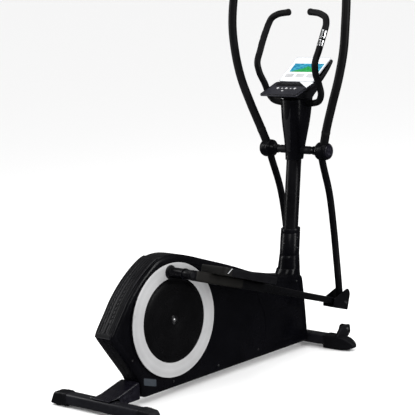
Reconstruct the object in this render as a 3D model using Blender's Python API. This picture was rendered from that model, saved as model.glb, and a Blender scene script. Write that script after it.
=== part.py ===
"""Rear-drive elliptical trainer, built from separate sub-parts.

Frame: +X is the rider's right, +Y the way the rider faces, +Z up, metres.
The floor is z = 0, and the crank axle lies along X.
"""
import math

import bmesh
import bpy
from mathutils import Vector

# ---------------------------------------------------------------- dimensions
GAP = 0.0003                    # between pieces that touch
STATION_Y = -0.3865             # where forward distances start, from the middle of the machine
CRANK_FORWARD = 0.0397
CRANK_Y = STATION_Y + CRANK_FORWARD
CRANK_Z = 0.322
CRANK_THROW = 0.206
CRANK_ANGLE = math.radians(-1.5)  # right crank at rest, forward of straight up
DISC_RADIUS = 0.242
RING_INNER_RADIUS = 0.180
AXLE_RADIUS = 0.0125

PIVOT_FORWARD = 0.954           # swing arm pivot
PIVOT_Z = 0.907
PIVOT_X = 0.165
FORK_FORWARD = 1.0050           # right fork pin with the right crank up
FORK_Z = 0.2035
ARM_X = 0.172                   # middle plane of a pedal arm

REAR_STABILISER_FORWARD = -0.326
REAR_STABILISER_HALF = 0.310
FRONT_STABILISER_FORWARD = 0.949
FRONT_STABILISER_HALF = 0.278
STABILISER_DEPTH = 0.056
STABILISER_HEIGHT = 0.048
STABILISER_Z = 0.037

SHELL_HALF_WIDTH = 0.054        # beside the crank disc
SHELL_FRONT_HALF_WIDTH = 0.055  # beside the mast
SHELL_WALL = 0.0025
SHELL_BOTTOM = 0.030

RAIL_HALF_WIDTH = 0.020
RAIL_TOP = 0.095

MAST_RADIUS = 0.034
MAST_FOOT_FORWARD = 0.8146      # mast centre line at the rail
MAST_LEAN = 0.160               # forward run for each metre of rise
MAST_TOP_Z = 1.097
SHROUD_BOTTOM_Z = 0.865
SHROUD_TOP_Z = 1.138

HANDLE_RADIUS = 0.0195
LOWER_ARM_RADIUS = 0.016
FIXED_BAR_RADIUS = 0.0150
MAST_AXLE_RADIUS = 0.011
MAST_AXLE_HALF = 0.191
HUB_RADIUS = 0.040
PIN_RADIUS = 0.008
RUNNING_CLEARANCE = 0.0004      # radial, for a faceted shaft in a faceted bore


# ----------------------------------------------------------------- utilities
def clear_scene():
    for obj in list(bpy.data.objects):
        bpy.data.objects.remove(obj, do_unlink=True)


def make_material(name, colour, roughness, metallic=0.0, coat=0.0):
    material = bpy.data.materials.new(name)
    material.use_nodes = True
    shader = material.node_tree.nodes["Principled BSDF"]
    shader.inputs["Base Color"].default_value = (*colour, 1.0)
    shader.inputs["Roughness"].default_value = roughness
    shader.inputs["Metallic"].default_value = metallic
    shader.inputs["Coat Weight"].default_value = coat
    material.diffuse_color = (*colour, 1.0)
    return material


def add_object(name, bm, material):
    bmesh.ops.remove_doubles(bm, verts=bm.verts, dist=1e-6)
    bmesh.ops.recalc_face_normals(bm, faces=bm.faces)
    mesh = bpy.data.meshes.new(name)
    bm.to_mesh(mesh)
    bm.free()
    obj = bpy.data.objects.new(name, mesh)
    bpy.context.scene.collection.objects.link(obj)
    if material is not None:
        mesh.materials.append(material)
    return obj


def revolve(name, profile, centre, material, segments=32, ring=False, lean=None):
    """Turn (radius, x) points about the X axis through centre.

    A ring profile is a closed loop, which leaves a bore. A lean stands the
    turning axis upright instead, and tips it forward by that run for each
    metre, so a lean of zero is plumb.
    """
    bm = bmesh.new()
    points = [bm.verts.new((x, radius, 0.0)) for radius, x in profile]
    loop = points + points[:1] if ring else points
    edges = [bm.edges.new(pair) for pair in zip(loop, loop[1:])]
    bmesh.ops.spin(
        bm, geom=points + edges, cent=(0, 0, 0), axis=(1, 0, 0), angle=math.tau,
        steps=segments, use_merge=True)
    if lean is not None:
        upright = Vector((0, lean, 1)).normalized()
        turn = Vector((1, 0, 0)).rotation_difference(upright)
        bmesh.ops.rotate(bm, verts=bm.verts, matrix=turn.to_matrix())
    bmesh.ops.translate(bm, verts=bm.verts, vec=centre)
    return add_object(name, bm, material)


def cylinder(name, radius, x_low, x_high, y, z, material, segments=24):
    profile = [(0, x_low), (radius, x_low), (radius, x_high), (0, x_high)]
    return revolve(name, profile, (0, y, z), material, segments)


def prism(name, outline, x_low, x_high, material, bevel=0.0):
    """Extrude a (y, z) outline along X."""
    bm = bmesh.new()
    face = bm.faces.new([bm.verts.new((x_low, y, z)) for y, z in outline])
    grown = bmesh.ops.extrude_face_region(bm, geom=[face])
    moved = [item for item in grown["geom"] if isinstance(item, bmesh.types.BMVert)]
    bmesh.ops.translate(bm, verts=moved, vec=(x_high - x_low, 0, 0))
    obj = add_object(name, bm, material)
    if bevel:
        add_bevel(obj, bevel)
    return obj


def hollow_prism(name, outer, inner, x_low, x_high, material):
    """Extrude the band between two (y, z) loops that have matching points."""
    bm = bmesh.new()
    count = len(outer)
    rings = [
        [bm.verts.new((x, y, z)) for y, z in loop]
        for x, loop in ((x_low, outer), (x_high, outer), (x_high, inner), (x_low, inner))]
    for near, far in zip(rings, rings[1:] + rings[:1]):
        for i in range(count):
            j = (i + 1) % count
            bm.faces.new((near[i], near[j], far[j], far[i]))
    return add_object(name, bm, material)


def loft(name, sections, material):
    """Skin closed (x, y, z) loops that have matching points, and cap both ends."""
    bm = bmesh.new()
    rings = [[bm.verts.new(point) for point in section] for section in sections]
    count = len(sections[0])
    for near, far in zip(rings, rings[1:]):
        for i in range(count):
            j = (i + 1) % count
            bm.faces.new((near[i], near[j], far[j], far[i]))
    bm.faces.new(rings[0])
    bm.faces.new(rings[-1])
    return add_object(name, bm, material)


def block(name, low, high, material, bevel=0.0):
    (x0, y0, z0), (x1, y1, z1) = low, high
    return prism(name, [(y0, z0), (y1, z0), (y1, z1), (y0, z1)], x0, x1, material, bevel)


def pipe(name, points, radius, material, sides=3, steps=4):
    """A round tube along a smooth curve through the points."""
    curve = bpy.data.curves.new(name + "_path", "CURVE")
    curve.dimensions = "3D"
    curve.bevel_depth = radius
    curve.bevel_resolution = sides
    curve.use_fill_caps = True
    curve.resolution_u = steps
    spline = curve.splines.new("BEZIER")
    spline.bezier_points.add(len(points) - 1)
    for knot, point in zip(spline.bezier_points, points):
        knot.co = point
        knot.handle_left_type = knot.handle_right_type = "AUTO"
    path = bpy.data.objects.new(name + "_path", curve)
    bpy.context.scene.collection.objects.link(path)
    bpy.context.view_layer.update()
    bm = bmesh.new()
    bm.from_mesh(bpy.data.meshes.new_from_object(path))
    bpy.data.objects.remove(path, do_unlink=True)
    return add_object(name, bm, material)


def add_bevel(obj, width, segments=2):
    modifier = obj.modifiers.new("edge", "BEVEL")
    modifier.width = width
    modifier.segments = segments
    modifier.limit_method = "ANGLE"
    modifier.angle_limit = math.radians(40)


def use_tool(obj, tool, operation):
    """Cut obj with a hidden tool, or weld the tool on to it."""
    tool.hide_render = True
    tool.display_type = "WIRE"
    modifier = obj.modifiers.new("tool", "BOOLEAN")
    modifier.operation = operation
    modifier.object = tool
    modifier.solver = "EXACT"


def ahead(forward):
    """World Y of a place that is this far ahead of the starting station."""
    return STATION_Y + forward


def mirrored(points):
    return [(-x, y, z) for x, y, z in points]


def rounded_bar(start, end, start_radius, end_radius, steps=8):
    """Outline of a bar with round ends about two (y, z) points."""
    run = math.atan2(end[1] - start[1], end[0] - start[0])
    outline = []
    for (y, z), radius, first in ((start, start_radius, 90), (end, end_radius, -90)):
        for i in range(steps + 1):
            angle = run + math.radians(first + 180 * i / steps)
            outline.append((y + radius * math.cos(angle), z + radius * math.sin(angle)))
    return outline


def turned(point, centre, angle):
    """A (y, z) point turned about a centre, where a positive angle lifts +Y."""
    y, z = point[0] - centre[0], point[1] - centre[1]
    cos, sin = math.cos(angle), math.sin(angle)
    return centre[0] + y * cos - z * sin, centre[1] + y * sin + z * cos


# ------------------------------------------------------------------- linkage
PIVOT = (ahead(PIVOT_FORWARD), PIVOT_Z)
THROW = (CRANK_THROW * math.sin(CRANK_ANGLE), CRANK_THROW * math.cos(CRANK_ANGLE))
RIGHT_CRANK_PIN = (CRANK_Y + THROW[0], CRANK_Z + THROW[1])
LEFT_CRANK_PIN = (CRANK_Y - THROW[0], CRANK_Z - THROW[1])
RIGHT_FORK_PIN = (ahead(FORK_FORWARD), FORK_Z)
PEDAL_LENGTH = math.dist(RIGHT_CRANK_PIN, RIGHT_FORK_PIN)
SWING_LENGTH = math.dist(PIVOT, RIGHT_FORK_PIN)


def fork_pin_for(crank_pin):
    """Where the pedal arm and the swing arm meet, for a place of the crank pin."""
    span = math.dist(crank_pin, PIVOT)
    along = (PEDAL_LENGTH ** 2 - SWING_LENGTH ** 2 + span ** 2) / (2 * span)
    aside = math.sqrt(PEDAL_LENGTH ** 2 - along ** 2)
    uy, uz = (PIVOT[0] - crank_pin[0]) / span, (PIVOT[1] - crank_pin[1]) / span
    return crank_pin[0] + along * uy + aside * uz, crank_pin[1] + along * uz - aside * uy


def heading(start, end):
    return math.atan2(end[1] - start[1], end[0] - start[0])


LEFT_FORK_PIN = fork_pin_for(LEFT_CRANK_PIN)
SIDES = {
    "right": (1, RIGHT_CRANK_PIN, RIGHT_FORK_PIN),
    "left": (-1, LEFT_CRANK_PIN, LEFT_FORK_PIN),
}


# ------------------------------------------------------------------ base
def build_base(paint, plastic, rubber):
    prism("main_rail", rail_outline(0), -RAIL_HALF_WIDTH, RAIL_HALF_WIDTH, paint, 0.003)
    stabiliser("rear", REAR_STABILISER_FORWARD, REAR_STABILISER_HALF, 0.100, paint, plastic)
    stabiliser("front", FRONT_STABILISER_FORWARD, FRONT_STABILISER_HALF, 0.080, paint, plastic)
    for side, sign in (("left", -1), ("right", 1)):
        transport_wheel(side, sign, rubber)
        levelling_foot(side, sign, rubber)
    saddle_cover(plastic)


def stabiliser_outline(forward, grow=0.0, floor=None):
    """Rounded box section of a stabiliser, optionally carried down to a floor height."""
    half_y = STABILISER_DEPTH / 2 + grow
    top = STABILISER_Z + STABILISER_HEIGHT / 2 + grow
    bottom = STABILISER_Z - STABILISER_HEIGHT / 2 - grow if floor is None else floor
    y = ahead(forward)
    return [(y - half_y, bottom), (y + half_y, bottom), (y + half_y, top), (y - half_y, top)]


def stabiliser(end, forward, half, cap_length, paint, plastic):
    tube_half = half - cap_length - GAP
    prism(end + "_stabiliser", stabiliser_outline(forward), -tube_half, tube_half, paint, 0.014)
    floor = 0.0063 if end == "rear" else 0.0
    for side, sign in (("left", -1), ("right", 1)):
        x_in, x_out = sign * (half - cap_length), sign * half
        low, high = min(x_in, x_out), max(x_in, x_out)
        name = f"{end}_end_cap_{side}"
        cap = prism(name, stabiliser_outline(forward, 0.002, floor), low, high, plastic, 0.010)
        if end == "front":
            add_wheel_ear(cap, side, sign, plastic)
        else:
            add_foot_socket(cap, side, sign)


WHEEL_RADIUS = 0.028
WHEEL_FORWARD = FRONT_STABILISER_FORWARD + 0.052
WHEEL_Z = 0.082
WHEEL_X = 0.186
WHEEL_HALF_WIDTH = 0.012
FOOT_X = 0.275
FOOT_STEM_RADIUS = 0.006


def add_wheel_ear(cap, side, sign, plastic):
    ear_low = WHEEL_X + WHEEL_HALF_WIDTH + GAP
    x_in, x_out = sign * ear_low, sign * (ear_low + 0.012)
    root = (ahead(FRONT_STABILISER_FORWARD), STABILISER_Z)
    hub = (ahead(WHEEL_FORWARD), WHEEL_Z)
    outline = rounded_bar(root, hub, 0.022, 0.016)
    ear = prism(f"ear_tool_{side}", outline, min(x_in, x_out), max(x_in, x_out), plastic)
    use_tool(cap, ear, "UNION")


def transport_wheel(side, sign, rubber):
    half, radius = WHEEL_HALF_WIDTH, WHEEL_RADIUS
    profile = [
        (0, -half), (radius - 0.003, -half), (radius, -half + 0.003), (radius, half - 0.003),
        (radius - 0.003, half), (0, half)]
    centre = (sign * WHEEL_X, ahead(WHEEL_FORWARD), WHEEL_Z)
    revolve("transport_wheel_" + side, profile, centre, rubber, 20)


def upright_round(name, radius, x, y, low, high, material, segments=20):
    profile = [(0, low), (radius, low), (radius, high), (0, high)]
    return revolve(name, profile, (x, y, 0), material, segments, lean=0.0)


def add_foot_socket(cap, side, sign):
    bore = FOOT_STEM_RADIUS + RUNNING_CLEARANCE
    place = sign * FOOT_X, ahead(REAR_STABILISER_FORWARD)
    socket = upright_round("socket_tool_" + side, bore, *place, -0.010, 0.032, None)
    use_tool(cap, socket, "DIFFERENCE")


def levelling_foot(side, sign, rubber):
    pad_radius, pad_height, stem_top = 0.020, 0.006, 0.028
    profile = [
        (0, 0), (pad_radius - 0.002, 0), (pad_radius, 0.002), (pad_radius, pad_height - 0.001),
        (pad_radius - 0.001, pad_height), (FOOT_STEM_RADIUS, pad_height),
        (FOOT_STEM_RADIUS, stem_top), (0, stem_top)]
    centre = (sign * FOOT_X, ahead(REAR_STABILISER_FORWARD), 0)
    revolve("levelling_foot_" + side, profile, centre, rubber, 20, lean=0.0)


def saddle_cover(plastic):
    """Plastic bridge from the rear stabiliser up to the housing."""
    top = STABILISER_Z + STABILISER_HEIGHT / 2 + GAP
    shape = [
        (-0.350, top), (-0.2965, top), (-0.2965, 0.032), (-0.1735, 0.032), (-0.1735, 0.1045),
        (-0.186, 0.1045), (-0.300, 0.0745), (-0.350, 0.0680)]
    outline = [(ahead(forward), z) for forward, z in shape]
    cover = prism("rear_saddle_cover", outline, -0.052, 0.052, plastic, 0.003)
    use_tool(cover, rail_clearance("saddle_rail_tool"), "DIFFERENCE")


def rail_outline(grow):
    """Side view of the main rail, which thins towards the rear stabiliser."""
    rear = ahead(REAR_STABILISER_FORWARD) - 0.020 - grow
    front = ahead(FRONT_STABILISER_FORWARD) - 0.012 + grow
    bottom = STABILISER_Z + STABILISER_HEIGHT / 2 + GAP - grow
    slope_end = ahead(-0.165)
    return [
        (rear, bottom), (front, bottom), (front, RAIL_TOP + grow), (slope_end, RAIL_TOP + grow),
        (rear, bottom + 0.004 + 2 * grow)]


def rail_clearance(name):
    """A hidden block a little larger than the main rail, for cutting what it passes through."""
    grow = 0.0006
    return prism(name, rail_outline(grow), -RAIL_HALF_WIDTH - grow, RAIL_HALF_WIDTH + grow, None)


# --------------------------------------------------------------- housing
def housing_outline():
    """Side view of the housing, as (forward, z) points all round."""
    return [
        (-0.160, SHELL_BOTTOM), (-0.168, 0.105), (-0.202, 0.154), (-0.250, 0.222), (-0.300, 0.294),
        (-0.314, 0.316), (-0.290, 0.350), (-0.261, 0.387), (-0.209, 0.454), (-0.136, 0.522),
        (-0.064, 0.570), (-0.008, 0.596), (0.060, 0.599), (0.130, 0.583), (0.200, 0.560),
        (0.278, 0.531), (0.370, 0.498), (0.459, 0.464), (0.553, 0.424), (0.660, 0.392),
        (0.770, 0.364), (0.840, 0.353), (0.880, 0.347), (0.895, 0.335), (0.903, 0.260),
        (0.908, 0.160), (0.910, 0.060), (0.907, SHELL_BOTTOM), (0.800, SHELL_BOTTOM),
        (0.640, SHELL_BOTTOM), (0.480, SHELL_BOTTOM), (0.320, SHELL_BOTTOM), (0.160, SHELL_BOTTOM),
        (0.0, SHELL_BOTTOM), (-0.100, SHELL_BOTTOM)]


def half_width(forward):
    """Half width of the housing, which narrows smoothly from the disc to the mast."""
    start, end = 0.250, 0.900
    step = min(max((forward - start) / (end - start), 0.0), 1.0)
    smooth = step * step * (3 - 2 * step)
    return SHELL_HALF_WIDTH + (SHELL_FRONT_HALF_WIDTH - SHELL_HALF_WIDTH) * smooth


def inset(outline, distance):
    """Move each point of a clockwise (forward, z) outline inwards."""
    moved = []
    count = len(outline)
    for i, (y, z) in enumerate(outline):
        before, after = outline[i - 1], outline[(i + 1) % count]
        ty, tz = after[0] - before[0], after[1] - before[1]
        length = math.hypot(ty, tz)
        moved.append((y + tz / length * distance, z - ty / length * distance))
    return moved


def build_housing(plastic, gloss):
    outline = housing_outline()
    for side, sign in (("left", -1), ("right", 1)):
        shell = housing_shell(side, sign, outline, gloss)
        use_tool(shell, rail_clearance(f"shell_rail_tool_{side}"), "DIFFERENCE")
        use_tool(shell, mast_clearance(f"shell_mast_tool_{side}", 0.2, 0.5), "DIFFERENCE")
        saddle = stabiliser_outline(FRONT_STABILISER_FORWARD, 0.001, -0.01)
        saddle_tool = prism(f"shell_saddle_tool_{side}", saddle, -0.1, 0.1, None)
        use_tool(shell, saddle_tool, "DIFFERENCE")
    rear_cover(outline, plastic)


def housing_shell(side, sign, outline, gloss):
    levels = [(0.0, 0.0), (0.0, 0.74), (0.006, 0.92), (0.020, 1.0)]
    rings = []
    for distance, share in levels:
        ring = inset(outline, distance) if distance else outline
        rings.append([(sign * max(share * half_width(y), GAP / 2), ahead(y), z) for y, z in ring])
    bore = []
    for y, z in outline:
        angle = math.atan2(z - CRANK_Z, y - CRANK_FORWARD)
        radius = AXLE_RADIUS + 0.010
        x = sign * SHELL_HALF_WIDTH
        bore.append((x, CRANK_Y + radius * math.cos(angle), CRANK_Z + radius * math.sin(angle)))
    rings.append(bore)
    bm = bmesh.new()
    rows = [[bm.verts.new(point) for point in ring] for ring in rings]
    count = len(outline)
    for near, far in zip(rows, rows[1:]):
        for i in range(count):
            j = (i + 1) % count
            bm.faces.new((near[i], near[j], far[j], far[i]))
    shell = add_object("housing_shell_" + side, bm, gloss)
    face_outwards(shell, sign)
    wall = shell.modifiers.new("wall", "SOLIDIFY")
    wall.thickness = SHELL_WALL
    wall.offset = -1
    return shell


def face_outwards(shell, sign):
    """Turn an open shell's faces so that its broad side looks away from the middle."""
    broadest = max(shell.data.polygons, key=lambda polygon: polygon.area * abs(polygon.normal.x))
    if broadest.normal.x * sign < 0:
        shell.data.flip_normals()


def rear_cover(outline, plastic):
    """Vented band that follows the housing's rear spine."""
    first, last = 5, 12
    under = inset(outline, -0.0006)[first:last]
    over = inset(outline, -0.0060)[first:last]
    under_world = [(ahead(y), z) for y, z in under]
    over_world = [(ahead(y), z) for y, z in over]
    loop = under_world + over_world[::-1]
    prism("housing_rear_cover", loop, -0.046, 0.046, plastic)


# ------------------------------------------------------------------ mast
def mast_centre(z):
    return ahead(MAST_FOOT_FORWARD + MAST_LEAN * (z - RAIL_TOP))


def mast_ring(z, rx, ry, count=24, shift=0.0, squareness=2.0, tilt=0.0):
    """Upright-tube section: a rounded loop at one height about the mast's centre line."""
    loop = []
    for i in range(count):
        angle = math.tau * i / count
        cos, sin = math.cos(angle), math.sin(angle)
        power = 2 / squareness
        x = rx * math.copysign(abs(cos) ** power, cos)
        y = ry * math.copysign(abs(sin) ** power, sin)
        loop.append((x, mast_centre(z) + shift + y, z + tilt * y))
    return loop


def mast_clearance(name, low, high):
    radius = MAST_RADIUS + 0.0006
    return loft(name, [mast_ring(low, radius, radius), mast_ring(high, radius, radius)], None)


def build_mast(paint, gloss, steel):
    foot = RAIL_TOP + GAP
    sections = [mast_ring(z, MAST_RADIUS, MAST_RADIUS) for z in (foot, MAST_TOP_Z)]
    tube = loft("mast_tube", sections, paint)
    collar = [mast_ring(0.4375, 0.045, 0.045), mast_ring(0.557, 0.044, 0.044)]
    sleeve = loft("mast_sleeve", collar, gloss)
    add_bevel(sleeve, 0.002)
    boot = loft("mast_boot", [
        mast_ring(0.363, 0.052, 0.051, shift=-0.004, tilt=-0.16), mast_ring(0.385, 0.050, 0.050),
        mast_ring(0.410, 0.048, 0.048), mast_ring(0.437, 0.046, 0.046)], gloss)
    shroud = loft("mast_upper_shroud", [
        mast_ring(z, rx, ry, 24, shift, 2.6) for z, rx, ry, shift in (
            (SHROUD_BOTTOM_Z, 0.0375, 0.0385, 0.003), (0.900, 0.0390, 0.042, 0.003),
            (0.960, 0.044, 0.052, 0.003), (1.040, 0.052, 0.066, 0.001),
            (SHROUD_TOP_Z, 0.058, 0.075, -0.002))], gloss)
    for piece in (sleeve, boot):
        use_tool(piece, mast_clearance(piece.name + "_tool", 0.2, 0.7), "DIFFERENCE")
    use_tool(shroud, mast_clearance("shroud_mast_tool", 0.7, MAST_TOP_Z + GAP), "DIFFERENCE")
    bar_tool = cylinder(
        "shroud_bar_tool", FIXED_BAR_RADIUS + 0.0010, -0.1, 0.1, ahead(BAR_FORWARD), BAR_Z, None)
    use_tool(shroud, bar_tool, "DIFFERENCE")
    for piece in (tube, shroud):
        bore = MAST_AXLE_RADIUS + RUNNING_CLEARANCE
        tool = cylinder(piece.name + "_axle_tool", bore, -0.1, 0.1, *PIVOT, None)
        use_tool(piece, tool, "DIFFERENCE")
    cylinder("mast_axle", MAST_AXLE_RADIUS, -MAST_AXLE_HALF, MAST_AXLE_HALF, *PIVOT, steel)


# ------------------------------------------------------- handlebar, console
BAR_FORWARD = 0.985
BAR_Z = 1.1165


def build_fixed_handlebar(foam):
    right = [
        (0.056, BAR_FORWARD, BAR_Z), (0.100, 0.981, 1.119), (0.134, 0.974, 1.130),
        (0.154, 0.966, 1.158), (0.160, 0.949, 1.205), (0.165, 0.922, 1.260), (0.169, 0.916, 1.300),
        (0.172, 0.945, 1.360), (0.172, 0.990, 1.440), (0.170, 1.008, 1.470), (0.158, 1.020, 1.498),
        (0.130, 1.024, 1.513), (0.067, 1.030, 1.523)]
    right = [(x, ahead(forward), z) for x, forward, z in right]
    middle = (0.0, ahead(BAR_FORWARD), BAR_Z)
    points = mirrored(right)[::-1] + [middle] + right
    pipe("fixed_handlebar", points, FIXED_BAR_RADIUS, foam, sides=2, steps=3)


def console_side(points):
    return [(ahead(forward), z) for forward, z in points]


def build_console(plastic, gloss, screen, button_material):
    tray = [(1.000, 1.2135), (1.045, 1.236), (1.084, 1.267), (1.118, 1.302)]
    tray_under = [(1.129, 1.292), (1.096, 1.255), (1.056, 1.221), (1.028, 1.200), (1.022, 1.139)]
    body = [(0.940, 1.139), (0.895, 1.153), (0.872, 1.1640), (0.900, 1.1740), (0.966, 1.1960)]
    outline = console_side(body + tray + tray_under)
    prism("console_body", outline, -0.105, 0.105, plastic, 0.003)
    plate = build_faceplate(gloss, button_material)
    build_display(screen)
    return plate


PLATE_FRONT = (0.846, 1.168)
PLATE_BACK = (0.972, 1.2115)
PLATE_THICKNESS = 0.010
PLATE_HALF_WIDTH = 0.108
BUTTON_RADIUS = 0.0065
BUTTON_XS = (-0.050, 0.0, 0.050)


def plate_point(share, height):
    """World (y, z) of a place on the button plate, from its front edge and its top face."""
    run = PLATE_BACK[0] - PLATE_FRONT[0], PLATE_BACK[1] - PLATE_FRONT[1]
    length = math.hypot(*run)
    forward = PLATE_FRONT[0] + run[0] * share - run[1] / length * height
    z = PLATE_FRONT[1] + run[1] * share + run[0] / length * height
    return ahead(forward), z


def build_faceplate(gloss, button_material):
    low = -PLATE_THICKNESS
    corners = [(0, low * 0.6), (0.16, low), (1, low), (1, 0), (0, 0)]
    outline = [plate_point(share, height) for share, height in corners]
    plate = prism("console_faceplate", outline, -PLATE_HALF_WIDTH, PLATE_HALF_WIDTH, gloss, 0.0015)
    tilt = heading(plate_point(0, 0), plate_point(1, 0))
    for number, x in enumerate(BUTTON_XS, 1):
        wide = BUTTON_RADIUS + 0.0006
        pocket = tilted_round(f"button_tool_{number}", wide, x, -0.007, 0.010, tilt, None)
        use_tool(plate, pocket, "DIFFERENCE")
        key = f"button_{number}"
        tilted_round(key, BUTTON_RADIUS, x, -0.0045, 0.0025, tilt, button_material)
    return plate


def tilted_round(name, radius, x, low, high, tilt, material):
    """A round piece square to the button plate, from one height above it to another."""
    centre = (x, *plate_point(0.52, 0))
    profile = [(0, low), (radius, low), (radius, high), (0, high)]
    return revolve(name, profile, centre, material, 16, lean=-math.tan(tilt))


def build_display(screen):
    """Flat panel standing a little clear of the console tray."""
    start, end = (0.998, 1.2185), (1.1205, 1.3030)
    low, high = 0.003, 0.009
    run = end[0] - start[0], end[1] - start[1]
    length = math.hypot(*run)
    outline = []
    for (forward, z), height in ((start, low), (end, low), (end, high), (start, high)):
        outline.append((forward - run[1] / length * height, z + run[0] / length * height))
    prism("display_panel", console_side(outline), -0.100, 0.100, screen, 0.001)


# ------------------------------------------------------------------ drive
BEARING_RADIUS = 0.021
PLATE_LOW, PLATE_HIGH = RAIL_HALF_WIDTH + 0.0007, RAIL_HALF_WIDTH + 0.0067
BELT_LOW, BELT_HIGH = 0.0360, 0.0460
PULLEY_RADIUS = 0.130
FLYWHEEL_FORWARD, FLYWHEEL_Z = 0.400, 0.250
FLYWHEEL_RADIUS = 0.125
SMALL_PULLEY_RADIUS = 0.024
MAGNET_GAP = 0.004


def build_drive(paint, steel, iron, rubber, plastic):
    crank_plates(paint, steel)
    axle_half = ARM_LOW - GAP
    cylinder("crank_axle", AXLE_RADIUS, -axle_half, axle_half, CRANK_Y, CRANK_Z, steel)
    drive_pulley(plastic)
    flywheel(iron)
    flywheel_bracket(paint)
    drive_belt(rubber)
    magnet_brake(steel)
    block("brake_servo", (-0.016, ahead(0.600), RAIL_TOP + GAP),
          (0.016, ahead(0.655), RAIL_TOP + 0.045), plastic, 0.003)


def crank_plates(paint, steel):
    foot, top = 0.070, BEARING_RADIUS + 0.014
    for side, sign in (("left", -1), ("right", 1)):
        outline = [(CRANK_Y - foot, STABILISER_Z + 0.030), (CRANK_Y + foot, STABILISER_Z + 0.030)]
        for i in range(9):
            angle = math.radians(180 * i / 8)
            outline.append((CRANK_Y + top * math.cos(angle), CRANK_Z + top * math.sin(angle)))
        low, high = sorted((sign * PLATE_LOW, sign * PLATE_HIGH))
        plate = prism("crank_plate_" + side, outline, low, high, paint)
        seat = BEARING_RADIUS + RUNNING_CLEARANCE
        tool = cylinder(
            f"bearing_tool_{side}", seat, low - 0.01, high + 0.01, CRANK_Y, CRANK_Z, None)
        use_tool(plate, tool, "DIFFERENCE")
        inner = AXLE_RADIUS + RUNNING_CLEARANCE
        half = 0.004
        profile = [
            (inner, -half), (BEARING_RADIUS, -half), (BEARING_RADIUS, half), (inner, half)]
        centre = ((low + high) / 2, CRANK_Y, CRANK_Z)
        revolve("crank_bearing_" + side, profile, centre, steel, 24, ring=True)


def drive_pulley(plastic):
    """Light pulley on the crank axle: hub, thin web and grooved rim."""
    low, high = BELT_LOW - 0.001, BELT_HIGH + 0.001
    bore = AXLE_RADIUS + RUNNING_CLEARANCE
    middle = (low + high) / 2
    web_low, web_high = middle - 0.002, middle + 0.002
    rim = PULLEY_RADIUS - 0.0004
    profile = [
        (bore, low), (0.030, low), (0.030, web_low), (rim - 0.012, web_low), (rim - 0.012, low),
        (rim, low), (rim, high), (rim - 0.012, high), (rim - 0.012, web_high), (0.030, web_high),
        (0.030, high), (bore, high)]
    revolve("drive_pulley", profile, (0, CRANK_Y, CRANK_Z), plastic, 28, ring=True)


def flywheel(iron):
    """Heavy rim, web, belt pulley on the right and a stub shaft through the left bracket."""
    rim, web, small = FLYWHEEL_RADIUS, 0.006, SMALL_PULLEY_RADIUS - 0.0004
    profile = [
        (0, -0.040), (0.007, -0.040), (0.007, -0.017), (0.022, -0.017), (0.022, -web), (0.085, -web),
        (0.090, -0.015), (rim, -0.015), (rim, 0.015), (0.090, 0.015), (0.085, web), (0.018, web),
        (0.018, BELT_LOW - 0.001), (small, BELT_LOW - 0.001), (small, BELT_HIGH + 0.001),
        (0, BELT_HIGH + 0.001)]
    revolve("flywheel", profile, (0, ahead(FLYWHEEL_FORWARD), FLYWHEEL_Z), iron, 28)


def flywheel_bracket(paint):
    y, z = ahead(FLYWHEEL_FORWARD), FLYWHEEL_Z
    outline = [(y - 0.060, STABILISER_Z + 0.030), (y + 0.060, STABILISER_Z + 0.030)]
    for i in range(9):
        angle = math.radians(180 * i / 8)
        outline.append((y + 0.022 * math.cos(angle), z + 0.022 * math.sin(angle)))
    bracket = prism("flywheel_bracket", outline, -PLATE_HIGH, -PLATE_LOW, paint)
    tool = cylinder("stub_tool", 0.007 + RUNNING_CLEARANCE, -0.05, -0.01, y, z, None)
    use_tool(bracket, tool, "DIFFERENCE")


def belt_loop(extra):
    """Loop round both pulleys, this far outside their rims, with matching points at any offset."""
    big, small = (CRANK_Y, CRANK_Z), (ahead(FLYWHEEL_FORWARD), FLYWHEEL_Z)
    run = heading(big, small)
    wrap = math.acos((PULLEY_RADIUS - SMALL_PULLEY_RADIUS) / math.dist(big, small))
    loop = []
    steps = 24
    for i in range(steps + 1):
        angle = run + wrap + (math.tau - 2 * wrap) * i / steps
        radius = PULLEY_RADIUS + extra
        loop.append((big[0] + radius * math.cos(angle), big[1] + radius * math.sin(angle)))
    for i in range(steps // 3 + 1):
        angle = run - wrap + 2 * wrap * i / (steps // 3)
        radius = SMALL_PULLEY_RADIUS + extra
        loop.append((small[0] + radius * math.cos(angle), small[1] + radius * math.sin(angle)))
    return loop


def drive_belt(rubber):
    clear, thickness = 0.0016, 0.003
    outer, inner = belt_loop(clear + thickness), belt_loop(clear)
    hollow_prism("drive_belt", outer, inner, BELT_LOW, BELT_HIGH, rubber)


def magnet_brake(steel):
    """Curved magnet carrier ahead of the flywheel, hinged at its lower end."""
    inner, outer = FLYWHEEL_RADIUS + MAGNET_GAP, FLYWHEEL_RADIUS + MAGNET_GAP + 0.010
    y, z = ahead(FLYWHEEL_FORWARD), FLYWHEEL_Z
    angles = [math.radians(-38 + 76 * i / 10) for i in range(11)]
    loop = [(y + inner * math.cos(a), z + inner * math.sin(a)) for a in angles]
    loop += [(y + outer * math.cos(a), z + outer * math.sin(a)) for a in reversed(angles)]
    prism("magnet_brake", loop, -0.017, 0.017, steel)


# ------------------------------------------------------------ cranks, discs
ARM_LOW, ARM_HIGH = SHELL_HALF_WIDTH + 0.001, SHELL_HALF_WIDTH + 0.005
DISC_LOW, DISC_HIGH = SHELL_HALF_WIDTH + 0.001, 0.0625
RING_LOW, RING_HIGH = DISC_HIGH + GAP, 0.0660
PIN_LOW = RING_HIGH + 0.0065


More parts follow.
